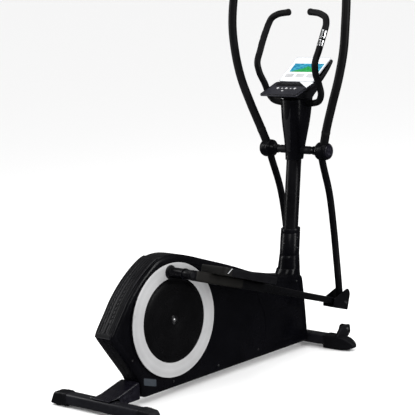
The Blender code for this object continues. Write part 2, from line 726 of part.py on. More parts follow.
def build_cranks(paint, gloss, silver, steel):
    for side, (sign, crank_pin, _) in SIDES.items():
        low, high = sorted((sign * ARM_LOW, sign * ARM_HIGH))
        outline = rounded_bar((CRANK_Y, CRANK_Z), crank_pin, 0.026, 0.020)
        prism("crank_arm_" + side, outline, low, high, paint)
        plate = disc(side, sign, gloss)
        low, high = sorted((0, sign * (ARM_HIGH + GAP)))
        pocket = rounded_bar((CRANK_Y, CRANK_Z), crank_pin, 0.026 + GAP, 0.020 + GAP)
        use_tool(plate, prism("pocket_tool_" + side, pocket, low, high, None), "DIFFERENCE")
        ring_profile = [
            (RING_INNER_RADIUS, sign * RING_LOW), (DISC_RADIUS, sign * RING_LOW),
            (DISC_RADIUS, sign * (RING_HIGH - 0.0015)), (DISC_RADIUS - 0.0015, sign * RING_HIGH),
            (RING_INNER_RADIUS + 0.0015, sign * RING_HIGH),
            (RING_INNER_RADIUS, sign * (RING_HIGH - 0.0015))]
        revolve("disc_ring_" + side, ring_profile, (0, CRANK_Y, CRANK_Z), silver, 48, ring=True)


def disc(side, sign, gloss):
    rim = DISC_RADIUS - 0.001
    crown = RING_INNER_RADIUS - 0.002
    profile = [
        (0, sign * DISC_LOW), (rim, sign * DISC_LOW), (rim, sign * DISC_HIGH),
        (crown, sign * DISC_HIGH), (crown - 0.004, sign * (DISC_HIGH + 0.002)),
        (0, sign * (DISC_HIGH + 0.003))]
    return revolve("crank_disc_" + side, profile, (0, CRANK_Y, CRANK_Z), gloss, 48)


# ------------------------------------------------------------- swing arms
def build_swing_arms(paint, foam, steel):
    right_heading = heading(PIVOT, RIGHT_FORK_PIN)
    for side, (sign, _, fork_pin) in SIDES.items():
        swing = heading(PIVOT, fork_pin) - right_heading
        swing_hub(side, sign, paint)
        handle_upper(side, sign, swing, foam)
        lower_arm(side, sign, swing, fork_pin, paint)


def placed(points, sign, swing):
    """Right-hand points carried to a side and turned about the mast axle."""
    placed_points = []
    for x, forward, z in points:
        y, z = turned((ahead(forward), z), PIVOT, swing)
        placed_points.append((sign * x, y, z))
    return placed_points


def hub_tool(name, sign):
    low, high = sorted((sign * 0.10, sign * 0.24))
    return cylinder(name, HUB_RADIUS + GAP, low, high, *PIVOT, None, 24)


def swing_hub(side, sign, paint):
    bore = MAST_AXLE_RADIUS + RUNNING_CLEARANCE
    profile = [
        (bore, 0.100), (0.018, 0.100), (0.021, 0.118), (0.036, 0.136), (HUB_RADIUS, 0.143),
        (HUB_RADIUS, 0.178), (0.034, 0.190), (bore, 0.190)]
    profile = [(radius, sign * x) for radius, x in profile]
    revolve("swing_hub_" + side, profile, (0, *PIVOT), paint, 24, ring=True)


def handle_upper(side, sign, swing, foam):
    points = [
        (0.165, 0.952, 0.925), (0.189, 0.9465, 1.000), (0.233, 0.9425, 1.117), (0.277, 0.945, 1.240),
        (0.303, 0.955, 1.360), (0.311, 0.966, 1.470), (0.307, 0.987, 1.580), (0.298, 1.004, 1.655)]
    handle = pipe("handle_upper_" + side, placed(points, sign, swing), HANDLE_RADIUS, foam, 2, 4)
    use_tool(handle, hub_tool("handle_tool_" + side, sign), "DIFFERENCE")


def lower_arm(side, sign, swing, fork_pin, paint):
    points = [
        (0.153, 0.960, 0.885), (0.152, 0.956, 0.850), (0.153, 0.990, 0.715), (0.156, 1.0045, 0.555),
        (0.163, 1.006, 0.405), (ARM_X, 1.001, 0.300), (ARM_X, FORK_FORWARD, FORK_Z - 0.004)]
    arm = pipe("swing_arm_lower_" + side, placed(points, sign, swing), LOWER_ARM_RADIUS, paint, 2, 3)
    use_tool(arm, hub_tool("lower_tool_" + side, sign), "DIFFERENCE")
    low, high = sorted((sign * (ARM_X - 0.026), sign * (ARM_X + 0.026)))
    eye = cylinder("eye_tool_" + side, 0.0205, low, high, *fork_pin, None)
    use_tool(arm, eye, "UNION")
    hole = PIN_RADIUS + RUNNING_CLEARANCE
    bore = cylinder("eye_bore_tool_" + side, hole, low - 0.01, high + 0.01, *fork_pin, None)
    use_tool(arm, bore, "DIFFERENCE")


# ------------------------------------------------------------- pedal arms
FIN_THICKNESS = 0.005
FORK_INNER_HALF = 0.027
PEDAL_HALF_WIDTH = 0.0180
TREAD_START, TREAD_END = 0.120, 0.470
TREAD_X, TREAD_HALF_WIDTH = 0.185, 0.071
TREAD_BASE, TREAD_FLOOR, TREAD_RIM = 0.0213, 0.0290, 0.0560


def build_pedal_arms(paint, steel, plastic):
    for side, (sign, crank_pin, fork_pin) in SIDES.items():
        slope = heading(crank_pin, fork_pin)
        pedal_arm(side, sign, crank_pin, slope, paint)
        fork_bracket(side, sign, crank_pin, slope, fork_pin, paint)
        low, high = sorted((sign * (ARM_X - 0.036), sign * (ARM_X + 0.036)))
        cylinder("fork_pin_" + side, PIN_RADIUS, low, high, *fork_pin, steel)
        low, high = sorted((sign * PIN_LOW, sign * (ARM_X - PEDAL_HALF_WIDTH - GAP)))
        cylinder("crank_pin_" + side, 0.0225, low, high, *crank_pin, steel)
        foot_plate(side, sign, crank_pin, slope, plastic)


def on_arm(crank_pin, slope, along, above):
    """World (y, z) of a place along and above a pedal arm's centre line."""
    cos, sin = math.cos(slope), math.sin(slope)
    return crank_pin[0] + along * cos - above * sin, crank_pin[1] + along * sin + above * cos


def pedal_arm(side, sign, crank_pin, slope, paint):
    end = PEDAL_LENGTH - 0.052
    shape = [
        (0, 0.021), (0.475, 0.021), (0.70, 0.0155), (end, 0.0145), (end, -0.0145), (0.70, -0.0155),
        (0.475, -0.019), (0, -0.021)]
    outline = [on_arm(crank_pin, slope, along, above) for along, above in shape]
    for i in range(1, 8):
        angle = math.radians(-90 - 180 * i / 8)
        along, above = 0.023 * math.cos(angle), 0.021 * math.sin(angle)
        outline.append(on_arm(crank_pin, slope, along, above))
    low, high = sorted((sign * (ARM_X - PEDAL_HALF_WIDTH), sign * (ARM_X + PEDAL_HALF_WIDTH)))
    prism("pedal_arm_" + side, outline, low, high, paint, 0.004)


def fork_bracket(side, sign, crank_pin, slope, fork_pin, paint):
    """Open-topped channel: two fins either side of the swing arm's eye, joined underneath."""
    start, end = PEDAL_LENGTH - 0.0517, PEDAL_LENGTH + 0.024
    floor, fin_low = -0.030, -0.0235
    shape = [
        (start - 0.030, floor), (end, floor), (end, 0.046), (end - 0.012, 0.062),
        (end - 0.026, 0.066), (start - 0.020, 0.016), (start - 0.030, 0.010)]
    outline = [on_arm(crank_pin, slope, along, above) for along, above in shape]
    outer_half = FORK_INNER_HALF + FIN_THICKNESS
    low, high = sorted((sign * (ARM_X - outer_half), sign * (ARM_X + outer_half)))
    bracket = prism("fork_bracket_" + side, outline, low, high, paint)
    rear, front, above = start - 0.080, end + 0.050, 0.200
    room = [(rear, fin_low), (front, fin_low), (front, above), (rear, above)]
    room = [on_arm(crank_pin, slope, *corner) for corner in room]
    low, high = sorted((sign * (ARM_X - FORK_INNER_HALF), sign * (ARM_X + FORK_INNER_HALF)))
    use_tool(bracket, prism("fork_room_tool_" + side, room, low, high, None), "DIFFERENCE")
    hole = PIN_RADIUS + RUNNING_CLEARANCE
    bore = cylinder("fork_bore_tool_" + side, hole, low - 0.02, high + 0.02, *fork_pin, None)
    use_tool(bracket, bore, "DIFFERENCE")


def foot_plate(side, sign, crank_pin, slope, plastic):
    """Shallow tray on top of a pedal arm."""
    def slab(name, end_inset, side_inset, base, top, material):
        start, end = TREAD_START + end_inset, TREAD_END - end_inset
        shape = [(start, base), (end, base), (end, top), (start, top)]
        outline = [on_arm(crank_pin, slope, along, above) for along, above in shape]
        half = TREAD_HALF_WIDTH - side_inset
        low, high = sorted((sign * (TREAD_X - half), sign * (TREAD_X + half)))
        return prism(name, outline, low, high, material)

    tray = slab("foot_plate_" + side, 0, 0, TREAD_BASE, TREAD_RIM, plastic)
    hollow = slab("tread_tool_" + side, 0.008, 0.006, TREAD_FLOOR, TREAD_RIM + 0.02, None)
    use_tool(tray, hollow, "DIFFERENCE")


# ------------------------------------------------------------------- build
def main():
    clear_scene()
    paint = make_material("black_paint", (0.012, 0.012, 0.014), 0.35, coat=0.3)
    matte = make_material("black_plastic", (0.020, 0.020, 0.021), 0.55)
    gloss = make_material("gloss_plastic", (0.008, 0.008, 0.010), 0.18, coat=0.5)
    rubber = make_material("rubber", (0.015, 0.015, 0.015), 0.85)
    foam = make_material("grip_foam", (0.018, 0.018, 0.018), 0.80)
    silver = make_material("silver_ring", (0.62, 0.62, 0.63), 0.35, metallic=0.2)
    steel = make_material("steel", (0.55, 0.55, 0.56), 0.30, metallic=1.0)
    iron = make_material("cast_iron", (0.10, 0.10, 0.10), 0.60, metallic=0.8)
    screen = make_material("display_white", (0.85, 0.86, 0.87), 0.25)
    keys = make_material("button_white", (0.60, 0.60, 0.62), 0.45)

    build_base(paint, matte, rubber)
    build_housing(matte, gloss)
    build_mast(paint, gloss, steel)
    build_fixed_handlebar(foam)
    build_console(matte, gloss, screen, keys)
    build_drive(paint, steel, iron, rubber, matte)
    build_cranks(paint, gloss, silver, steel)
    build_swing_arms(paint, foam, steel)
    build_pedal_arms(paint, steel, matte)


main()
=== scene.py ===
import math

import bpy
import numpy as np
from mathutils import Matrix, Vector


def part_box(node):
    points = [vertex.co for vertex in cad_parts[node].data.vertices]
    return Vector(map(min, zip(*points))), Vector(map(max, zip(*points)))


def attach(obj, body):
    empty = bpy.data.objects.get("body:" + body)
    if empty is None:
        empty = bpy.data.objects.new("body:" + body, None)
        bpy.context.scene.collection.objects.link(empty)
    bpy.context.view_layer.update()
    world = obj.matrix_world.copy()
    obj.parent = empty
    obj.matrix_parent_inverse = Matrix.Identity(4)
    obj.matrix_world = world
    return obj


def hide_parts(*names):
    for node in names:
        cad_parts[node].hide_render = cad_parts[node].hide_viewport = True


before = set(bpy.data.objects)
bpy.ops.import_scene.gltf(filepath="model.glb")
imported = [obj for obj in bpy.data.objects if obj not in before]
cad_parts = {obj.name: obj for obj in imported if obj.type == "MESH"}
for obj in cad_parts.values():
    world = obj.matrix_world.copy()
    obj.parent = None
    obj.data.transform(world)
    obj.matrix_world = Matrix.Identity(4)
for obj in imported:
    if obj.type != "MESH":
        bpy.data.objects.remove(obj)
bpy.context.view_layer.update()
print("frame loaded:", len(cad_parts), "nodes")

stationY = -0.3865     # where forward distances start


def centreOf(node):
    low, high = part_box(node)
    return (np.array(low) + np.array(high)) / 2


crankY, crankZ = centreOf("crank_axle")[1:]
pivot = centreOf("mast_axle")[1:]
crankPin = {side: centreOf("crank_pin_" + side)[1:] for side in ("right", "left")}
forkPin = {side: centreOf("fork_pin_" + side)[1:] for side in ("right", "left")}
handed = {"right": 1, "left": -1}
armX = 0.172


def heading(start, end):
    return math.atan2(end[1] - start[1], end[0] - start[0])


slope = {side: heading(crankPin[side], forkPin[side]) for side in handed}
pedalLength = float(np.linalg.norm(forkPin["right"] - crankPin["right"]))
swingTurn = {side: heading(pivot, forkPin[side]) - heading(pivot, forkPin["right"])
             for side in handed}


# World points from points whose last two columns are forward distance and height.
def ahead(points):
    moved = np.array(points, float)
    moved[..., -2] += stationY
    return moved


# Faces turned to point outwards: the volume, a sum of a . (b x c) / 6, has to be positive. An
# open shell is turned so that its area looks along x with the sign of outward.
def closed(points, faces, outward=None):
    corners = np.array([f[:3] for f in faces] + [[f[0], f[2], f[-1]] for f in faces if len(f) == 4])
    a, b, c = points[corners[:, 0]], points[corners[:, 1]], points[corners[:, 2]]
    if outward is None:
        flat = [f for f in faces if len(f) > 4]
        volume = (a * np.cross(b, c)).sum()
        for face in flat:
            p = points[face]
            volume += (p[0] * np.cross(p[1:-1], p[2:])).sum() - (p[0] * np.cross(p[1], p[2])).sum()
        wrong = volume < 0
    else:
        wrong = np.cross(b - a, c - a)[:, 0].sum() * outward < 0
    return points, [f[::-1] for f in faces] if wrong else faces


# A skin over rings: ring i joins ring i + 1, and the last joins the first with loop. ends closes
# the two end rings with a fan to their middle, one flat face, or nothing.
def grid(rows, ends="fan", loop=False, outward=None):
    rows = np.asarray(rows, float)
    count, around = rows.shape[:2]
    index = np.arange(count * around).reshape(count, around)
    near = index if loop else index[:-1]
    far = np.roll(index, -1, 0) if loop else index[1:]
    quads = np.stack([near, far, np.roll(far, -1, 1), np.roll(near, -1, 1)], -1)
    faces = quads.reshape(-1, 4).tolist()
    points = rows.reshape(-1, 3)
    if not loop and ends == "fan":
        points = np.vstack([points, rows[0].mean(0), rows[-1].mean(0)])
        first, last = index[0], index[-1]
        top = len(points) - 1
        faces += np.stack([first, np.roll(first, -1), np.full(around, top - 1)], -1).tolist()
        faces += np.stack([np.roll(last, -1), last, np.full(around, top)], -1).tolist()
    elif not loop and ends == "flat":
        faces += [index[0].tolist(), index[-1][::-1].tolist()]
    return closed(points, faces, outward)


# Several shapes as one.
def joined(*shapes):
    starts = np.cumsum([0] + [len(points) for points, faces in shapes])
    faces = [[corner + int(start) for corner in face]
             for (points, some), start in zip(shapes, starts) for face in some]
    return np.vstack([points for points, some in shapes]), faces


# A cubic through the points: p(t) = h00 p0 + h10 m0 + h01 p1 + h11 m1 on each stretch, where the
# slopes m come from the neighbours and t grows with distance.
def smoothPath(points, count):
    p = np.asarray(points, float)
    u = np.r_[0, np.cumsum(np.linalg.norm(np.diff(p, axis=0), axis=1))]
    m = np.gradient(p, u, axis=0)
    s = np.linspace(0, u[-1], count)
    i = np.clip(np.searchsorted(u, s, side="right") - 1, 0, len(u) - 2)
    h = (u[i + 1] - u[i])[:, None]
    t = (s - u[i])[:, None] / h
    return ((2 * t ** 3 - 3 * t ** 2 + 1) * p[i] + (t ** 3 - 2 * t ** 2 + t) * h * m[i]
            + (3 * t ** 2 - 2 * t ** 3) * p[i + 1] + (t ** 3 - t ** 2) * h * m[i + 1])


# Corners rounded with b(t) = (1-t)^2 a + 2t(1-t) p + t^2 c, where a and c lie up to radius from
# the corner p. ends keeps the first and last points of an open line.
def softened(outline, radius, steps=4, ends=False):
    p = np.asarray(outline, float)
    before, after = np.roll(p, 1, 0) - p, np.roll(p, -1, 0) - p
    lengthBefore = np.linalg.norm(before, axis=1, keepdims=True)
    lengthAfter = np.linalg.norm(after, axis=1, keepdims=True)
    reach = np.minimum(radius, 0.45 * np.minimum(lengthBefore, lengthAfter))
    a, c = p + before / lengthBefore * reach, p + after / lengthAfter * reach
    t = np.linspace(0, 1, steps)[None, :, None]
    curve = (1 - t) ** 2 * a[:, None] + 2 * t * (1 - t) * p[:, None] + t ** 2 * c[:, None]
    if ends:
        return np.vstack([p[:1], curve[1:-1].reshape(-1, p.shape[1]), p[-1:]])
    return curve.reshape(-1, p.shape[1])


# Each point of a closed (y, z) outline moved to the inside, square to its neighbours.
def inwards(outline, distance):
    along = np.roll(outline, -1, 0) - np.roll(outline, 1, 0)
    along /= np.linalg.norm(along, axis=1, keepdims=True)
    y, z = outline.T
    area = (y * np.roll(z, -1) - np.roll(y, -1) * z).sum()
    side = 1 if area > 0 else -1
    return outline + distance * side * np.stack([-along[:, 1], along[:, 0]], 1)


# Ring moves and places of a piece with round edges from low to high: at angle a the ring is
# moved in by edge (1 - sin a) and lies edge (1 - cos a) from the end face.
def bevel(low, high, edge, steps=4):
    a = np.linspace(0, math.pi / 2, steps)
    move, lift = edge * (1 - np.sin(a)), edge * (1 - np.cos(a))
    return list(zip(np.r_[move, move[::-1]], np.r_[low + lift, high - lift[::-1]]))


# A (y, z) outline carried along x, with round edges.
def slab(outline, low, high, edge, steps=4):
    rings = [np.column_stack([np.full(len(outline), x), inwards(outline, move)])
             for move, x in bevel(low, high, edge, steps)]
    return grid(rings, ends="flat")


# A slab on one side, from its near and far distances from the middle.
def sideSlab(side, outline, near, far, edge, steps=4):
    low, high = sorted((handed[side] * near, handed[side] * far))
    return slab(outline, low, high, edge, steps)


def circle(sides):
    angle = np.linspace(0, math.tau, sides, endpoint=False)
    return np.stack([np.cos(angle), np.sin(angle)], 1)


# A (radius, height) profile turned about a line through centre: p = c + h k + r (i cos a + j sin
# a).
def lathe(profile, centre, sides=64, along=(1, 0, 0), loop=False):
    k = np.array(along, float) / np.linalg.norm(along)
    i = np.cross(k, (0, 1, 0) if abs(k[1]) < 0.9 else (1, 0, 0))
    i /= np.linalg.norm(i)
    j = np.cross(k, i)
    radius, height = np.asarray(profile, float).T[:, :, None, None]
    angle = np.linspace(0, math.tau, sides, endpoint=False)[None, :, None]
    rows = np.array(centre) + height * k + radius * (np.cos(angle) * i + np.sin(angle) * j)
    return grid(rows, loop=loop)


# A lathe piece about the x axis, its (radius, x) profile given for the right-hand side.
def turnedOn(sign, profile, centre, sides=64, soft=0.0, loop=False):
    profile = np.array(profile, float) * (1, sign)
    if soft:
        profile = softened(profile, soft, 4, ends=not loop)
    return lathe(profile, (0, *centre), sides, loop=loop)


# A section carried along a path: p + s (u a + v b), where a is square to the path and to the
# y axis, and b is square to both a and the path.
def sweep(path, section, scale=None, ends="fan"):
    tangent = np.gradient(path, axis=0)
    tangent /= np.linalg.norm(tangent, axis=1, keepdims=True)
    a = np.cross((0, 1, 0), tangent)
    a /= np.linalg.norm(a, axis=1, keepdims=True)
    b = np.cross(tangent, a)
    scale = np.ones(len(path)) if scale is None else np.asarray(scale)
    u, v = np.asarray(section, float).T
    rows = (path[:, None] + scale[:, None, None]
            * (u[None, :, None] * a[:, None] + v[None, :, None] * b[:, None]))
    return grid(rows, ends=ends)


# A round tube on a smooth path. A round end adds rings at r sin a of radius r cos a.
def roundTube(points, radius, count=60, sides=28, roundStart=False, roundEnd=False):
    path = smoothPath(points, count)
    scale = np.ones(count)
    a = np.linspace(0.25, math.pi / 2 - 0.04, 7)
    if roundEnd:
        way = path[-1] - path[-2]
        way /= np.linalg.norm(way)
        path = np.vstack([path, path[-1] + radius * np.sin(a)[:, None] * way])
        scale = np.r_[scale, np.cos(a)]
    if roundStart:
        way = path[0] - path[1]
        way /= np.linalg.norm(way)
        path = np.vstack([path[0] + radius * np.sin(a[::-1])[:, None] * way, path])
        scale = np.r_[np.cos(a[::-1]), scale]
    return sweep(path, radius * circle(sides), scale=scale)


# Puts a shape into the scene as a named piece that moves with a body.
def piece(name, shape, material, body, replaced=(), sharp=38):
    points, faces = shape
    mesh = bpy.data.meshes.new(name)
    mesh.from_pydata(points.tolist(), [], faces)
    mesh.update()
    mesh.shade_smooth()
    mesh.set_sharp_from_angle(angle=math.radians(sharp))
    mesh.materials.append(material)
    obj = bpy.data.objects.new(name, mesh)
    bpy.context.scene.collection.objects.link(obj)
    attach(obj, body)
    if replaced:
        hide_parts(*replaced)
    return obj


def newGroup(name, inputs, outputs):
    group = bpy.data.node_groups.new(name, "ShaderNodeTree")
    kinds = {"value": "NodeSocketFloat", "colour": "NodeSocketColor", "vector": "NodeSocketVector"}
    for label, kind, default in inputs:
        socket = group.interface.new_socket(name=label, in_out="INPUT", socket_type=kinds[kind])
        if default is not None:
            socket.default_value = default
    for label, kind in outputs:
        group.interface.new_socket(name=label, in_out="OUTPUT", socket_type=kinds[kind])
    return group, group.nodes.new("NodeGroupInput"), group.nodes.new("NodeGroupOutput")


# A new node, with its settings and its named or numbered inputs.
def put(tree, kind, **values):
    node = tree.nodes.new(kind)
    for key, value in values.items():
        if key.startswith("in_"):
            label = int(key[3:]) if key[3:].isdigit() else key[3:].replace("_", " ")
            node.inputs[label].default_value = value
        else:
            setattr(node, key, value)
    return node


def noise(tree, place, scale, detail=3.0, rough=0.55):
    node = put(tree, "ShaderNodeTexNoise", in_Scale=scale, in_Detail=detail, in_Roughness=rough)
    tree.links.new(place, node.inputs["Vector"])
    return node.outputs["Fac"]


def spread(tree, value, low, high, toLow=0.0, toHigh=1.0):
    node = put(tree, "ShaderNodeMapRange", in_1=low, in_2=high, in_3=toLow, in_4=toHigh)
    tree.links.new(value, node.inputs[0])
    return node.outputs[0]


def maths(tree, operation, a, b=0.5):
    node = put(tree, "ShaderNodeMath", operation=operation)
    for socket, value in zip(node.inputs, (a, b)):
        if isinstance(value, (int, float)):
            socket.default_value = value
        else:
            tree.links.new(value, socket)
    return node.outputs[0]


# Colours a and b mixed by share.
def blend(tree, share, a, b):
    node = put(tree, "ShaderNodeMix", data_type="RGBA")
    for socket, value in ((node.inputs[0], share), (node.inputs[6], a), (node.inputs[7], b)):
        if isinstance(value, (tuple, float)):
            socket.default_value = value
        else:
            tree.links.new(value, socket)
    return node.outputs[2]


# Mask of rubbed edges: how far the surface bulges, broken up by noise.
def buildWear():
    group, start, end = newGroup("edgeRub", [("Place", "vector", None), ("Amount", "value", 0.5)],
                                 [("Mask", "value")])
    bulge = put(group, "ShaderNodeNewGeometry").outputs["Pointiness"]
    edge = spread(group, bulge, 0.515, 0.60)
    broken = spread(group, noise(group, start.outputs["Place"], 70, 4), 0.42, 0.70)
    mask = maths(group, "MULTIPLY", maths(group, "MULTIPLY", edge, broken), start.outputs["Amount"])
    group.links.new(mask, end.inputs["Mask"])
    return group


# Mask of settled dust: how far a face looks up, times soft patches.
def buildDust():
    group, start, end = newGroup("dustFilm", [("Place", "vector", None), ("Amount", "value", 0.3)],
                                 [("Mask", "value")])
    normal = put(group, "ShaderNodeNewGeometry").outputs["Normal"]
    parts = put(group, "ShaderNodeSeparateXYZ")
    group.links.new(normal, parts.inputs[0])
    up = spread(group, parts.outputs["Z"], 0.2, 1.0)
    patches = spread(group, noise(group, start.outputs["Place"], 14, 6, 0.62), 0.35, 0.75)
    fine = spread(group, noise(group, start.outputs["Place"], 420, 2), 0.35, 0.75, 0.5, 1.0)
    mask = maths(group, "MULTIPLY", maths(group, "MULTIPLY", up, patches), fine)
    group.links.new(maths(group, "MULTIPLY", mask, start.outputs["Amount"]), end.inputs["Mask"])
    return group


# Moulded or sprayed surface: fine grain as height, slow patches as a mask.
def buildGrain():
    group, start, end = newGroup(
        "surfaceGrain",
        [("Place", "vector", None), ("Fineness", "value", 900.0), ("Patch", "value", 7.0)],
        [("Height", "value"), ("Patches", "value"), ("Scuffs", "value")])
    fine = put(group, "ShaderNodeTexNoise", in_Detail=2.0)
    group.links.new(start.outputs["Place"], fine.inputs["Vector"])
    group.links.new(start.outputs["Fineness"], fine.inputs["Scale"])
    wide = put(group, "ShaderNodeTexNoise", in_Detail=5.0, in_Roughness=0.6)
    group.links.new(start.outputs["Place"], wide.inputs["Vector"])
    group.links.new(start.outputs["Patch"], wide.inputs["Scale"])
    stretch = put(group, "ShaderNodeMapping")
    stretch.inputs["Scale"].default_value = (60, 9, 60)
    stretch.inputs["Rotation"].default_value = (0.4, 0.2, 0.9)
    group.links.new(start.outputs["Place"], stretch.inputs["Vector"])
    scratch = spread(group, noise(group, stretch.outputs[0], 9, 4, 0.7), 0.62, 0.78)
    group.links.new(fine.outputs["Fac"], end.inputs["Height"])
    group.links.new(spread(group, wide.outputs["Fac"], 0.3, 0.7), end.inputs["Patches"])
    group.links.new(scratch, end.inputs["Scuffs"])
    return group


# Fine circular lines about the crank line: noise of the radius from it.
def buildTurned():
    group, start, end = newGroup(
        "turnedLines", [("Place", "vector", None), ("Fineness", "value", 700.0)],
        [("Height", "value"), ("Streaks", "value")])
    parts = put(group, "ShaderNodeSeparateXYZ")
    group.links.new(start.outputs["Place"], parts.inputs[0])
    square = maths(group, "ADD", maths(group, "MULTIPLY", parts.outputs["Y"], parts.outputs["Y"]),
                   maths(group, "MULTIPLY", parts.outputs["Z"], parts.outputs["Z"]))
    radius = maths(group, "SQRT", square)
    across = put(group, "ShaderNodeTexNoise", noise_dimensions="1D", in_Detail=3.0)
    group.links.new(maths(group, "MULTIPLY", radius, start.outputs["Fineness"]), across.inputs["W"])
    across.inputs["Scale"].default_value = 1.0
    slow = put(group, "ShaderNodeTexNoise", noise_dimensions="1D", in_Scale=60.0, in_Detail=4.0)
    group.links.new(radius, slow.inputs["W"])
    group.links.new(across.outputs["Fac"], end.inputs["Height"])
    group.links.new(slow.outputs["Fac"], end.inputs["Streaks"])
    return group


groups = {"wear": buildWear(), "dust": buildDust(), "grain": buildGrain(), "turned": buildTurned()}


def useGroup(tree, key, place, **values):
    node = tree.nodes.new("ShaderNodeGroup")
    node.node_tree = groups[key]
    tree.links.new(place, node.inputs["Place"])
    for label, value in values.items():
        node.inputs[label].default_value = value
    return node.outputs


# A maker's finish: two close colours in slow patches, fine grain, rubbed edges, dust on top.
def finish(name, deep, light, rough, grain, rubbed, wear, dust, shine=0.5, metal=0.0, coat=0.0,
           turned=None):
    material = bpy.data.materials.new(name)
    material.use_nodes = True
    tree = material.node_tree
    surface = tree.nodes["Principled BSDF"]
    place = put(tree, "ShaderNodeTexCoord").outputs["Object"]
    grained = useGroup(tree, "grain", place, Fineness=grain[0], Patch=7.0)
    colour = blend(tree, grained["Patches"], (*deep, 1.0), (*light, 1.0))
    if turned:
        moved = put(tree, "ShaderNodeMapping")
        moved.inputs["Location"].default_value = (0, -crankY, -crankZ)
        tree.links.new(place, moved.inputs["Vector"])
        lines = useGroup(tree, "turned", moved.outputs[0], Fineness=turned[0])
        colour = blend(tree, spread(tree, lines["Streaks"], 0.35, 0.65, 0.0, turned[1]), colour,
                       (*[0.82 * c for c in deep], 1.0))
        height = lines["Height"]
    else:
        height = grained["Height"]
    worn = useGroup(tree, "wear", place, Amount=wear)["Mask"]
    colour = blend(tree, worn, colour, (*rubbed, 1))
    dusty = useGroup(tree, "dust", place, Amount=dust)["Mask"]
    colour = blend(tree, dusty, colour, (0.12, 0.115, 0.11, 1))
    roughness = maths(tree, "ADD", spread(tree, grained["Patches"], 0, 1, rough[0], rough[1]),
                      maths(tree, "MULTIPLY", grained["Scuffs"], 0.06))
    roughness = maths(tree, "ADD", roughness, maths(tree, "MULTIPLY", dusty, 0.5))
    bump = put(tree, "ShaderNodeBump", in_Strength=0.35, in_Distance=grain[1] / 1000)
    tree.links.new(height, bump.inputs["Height"])
    tree.links.new(colour, surface.inputs["Base Color"])
    tree.links.new(roughness, surface.inputs["Roughness"])
    tree.links.new(bump.outputs["Normal"], surface.inputs["Normal"])
    surface.inputs["Metallic"].default_value = metal
    surface.inputs["Specular IOR Level"].default_value = shine
    if coat:
        surface.inputs["Coat Weight"].default_value = coat
        surface.inputs["Coat Roughness"].default_value = 0.12
    return material


axleCentre = (crankY, crankZ)
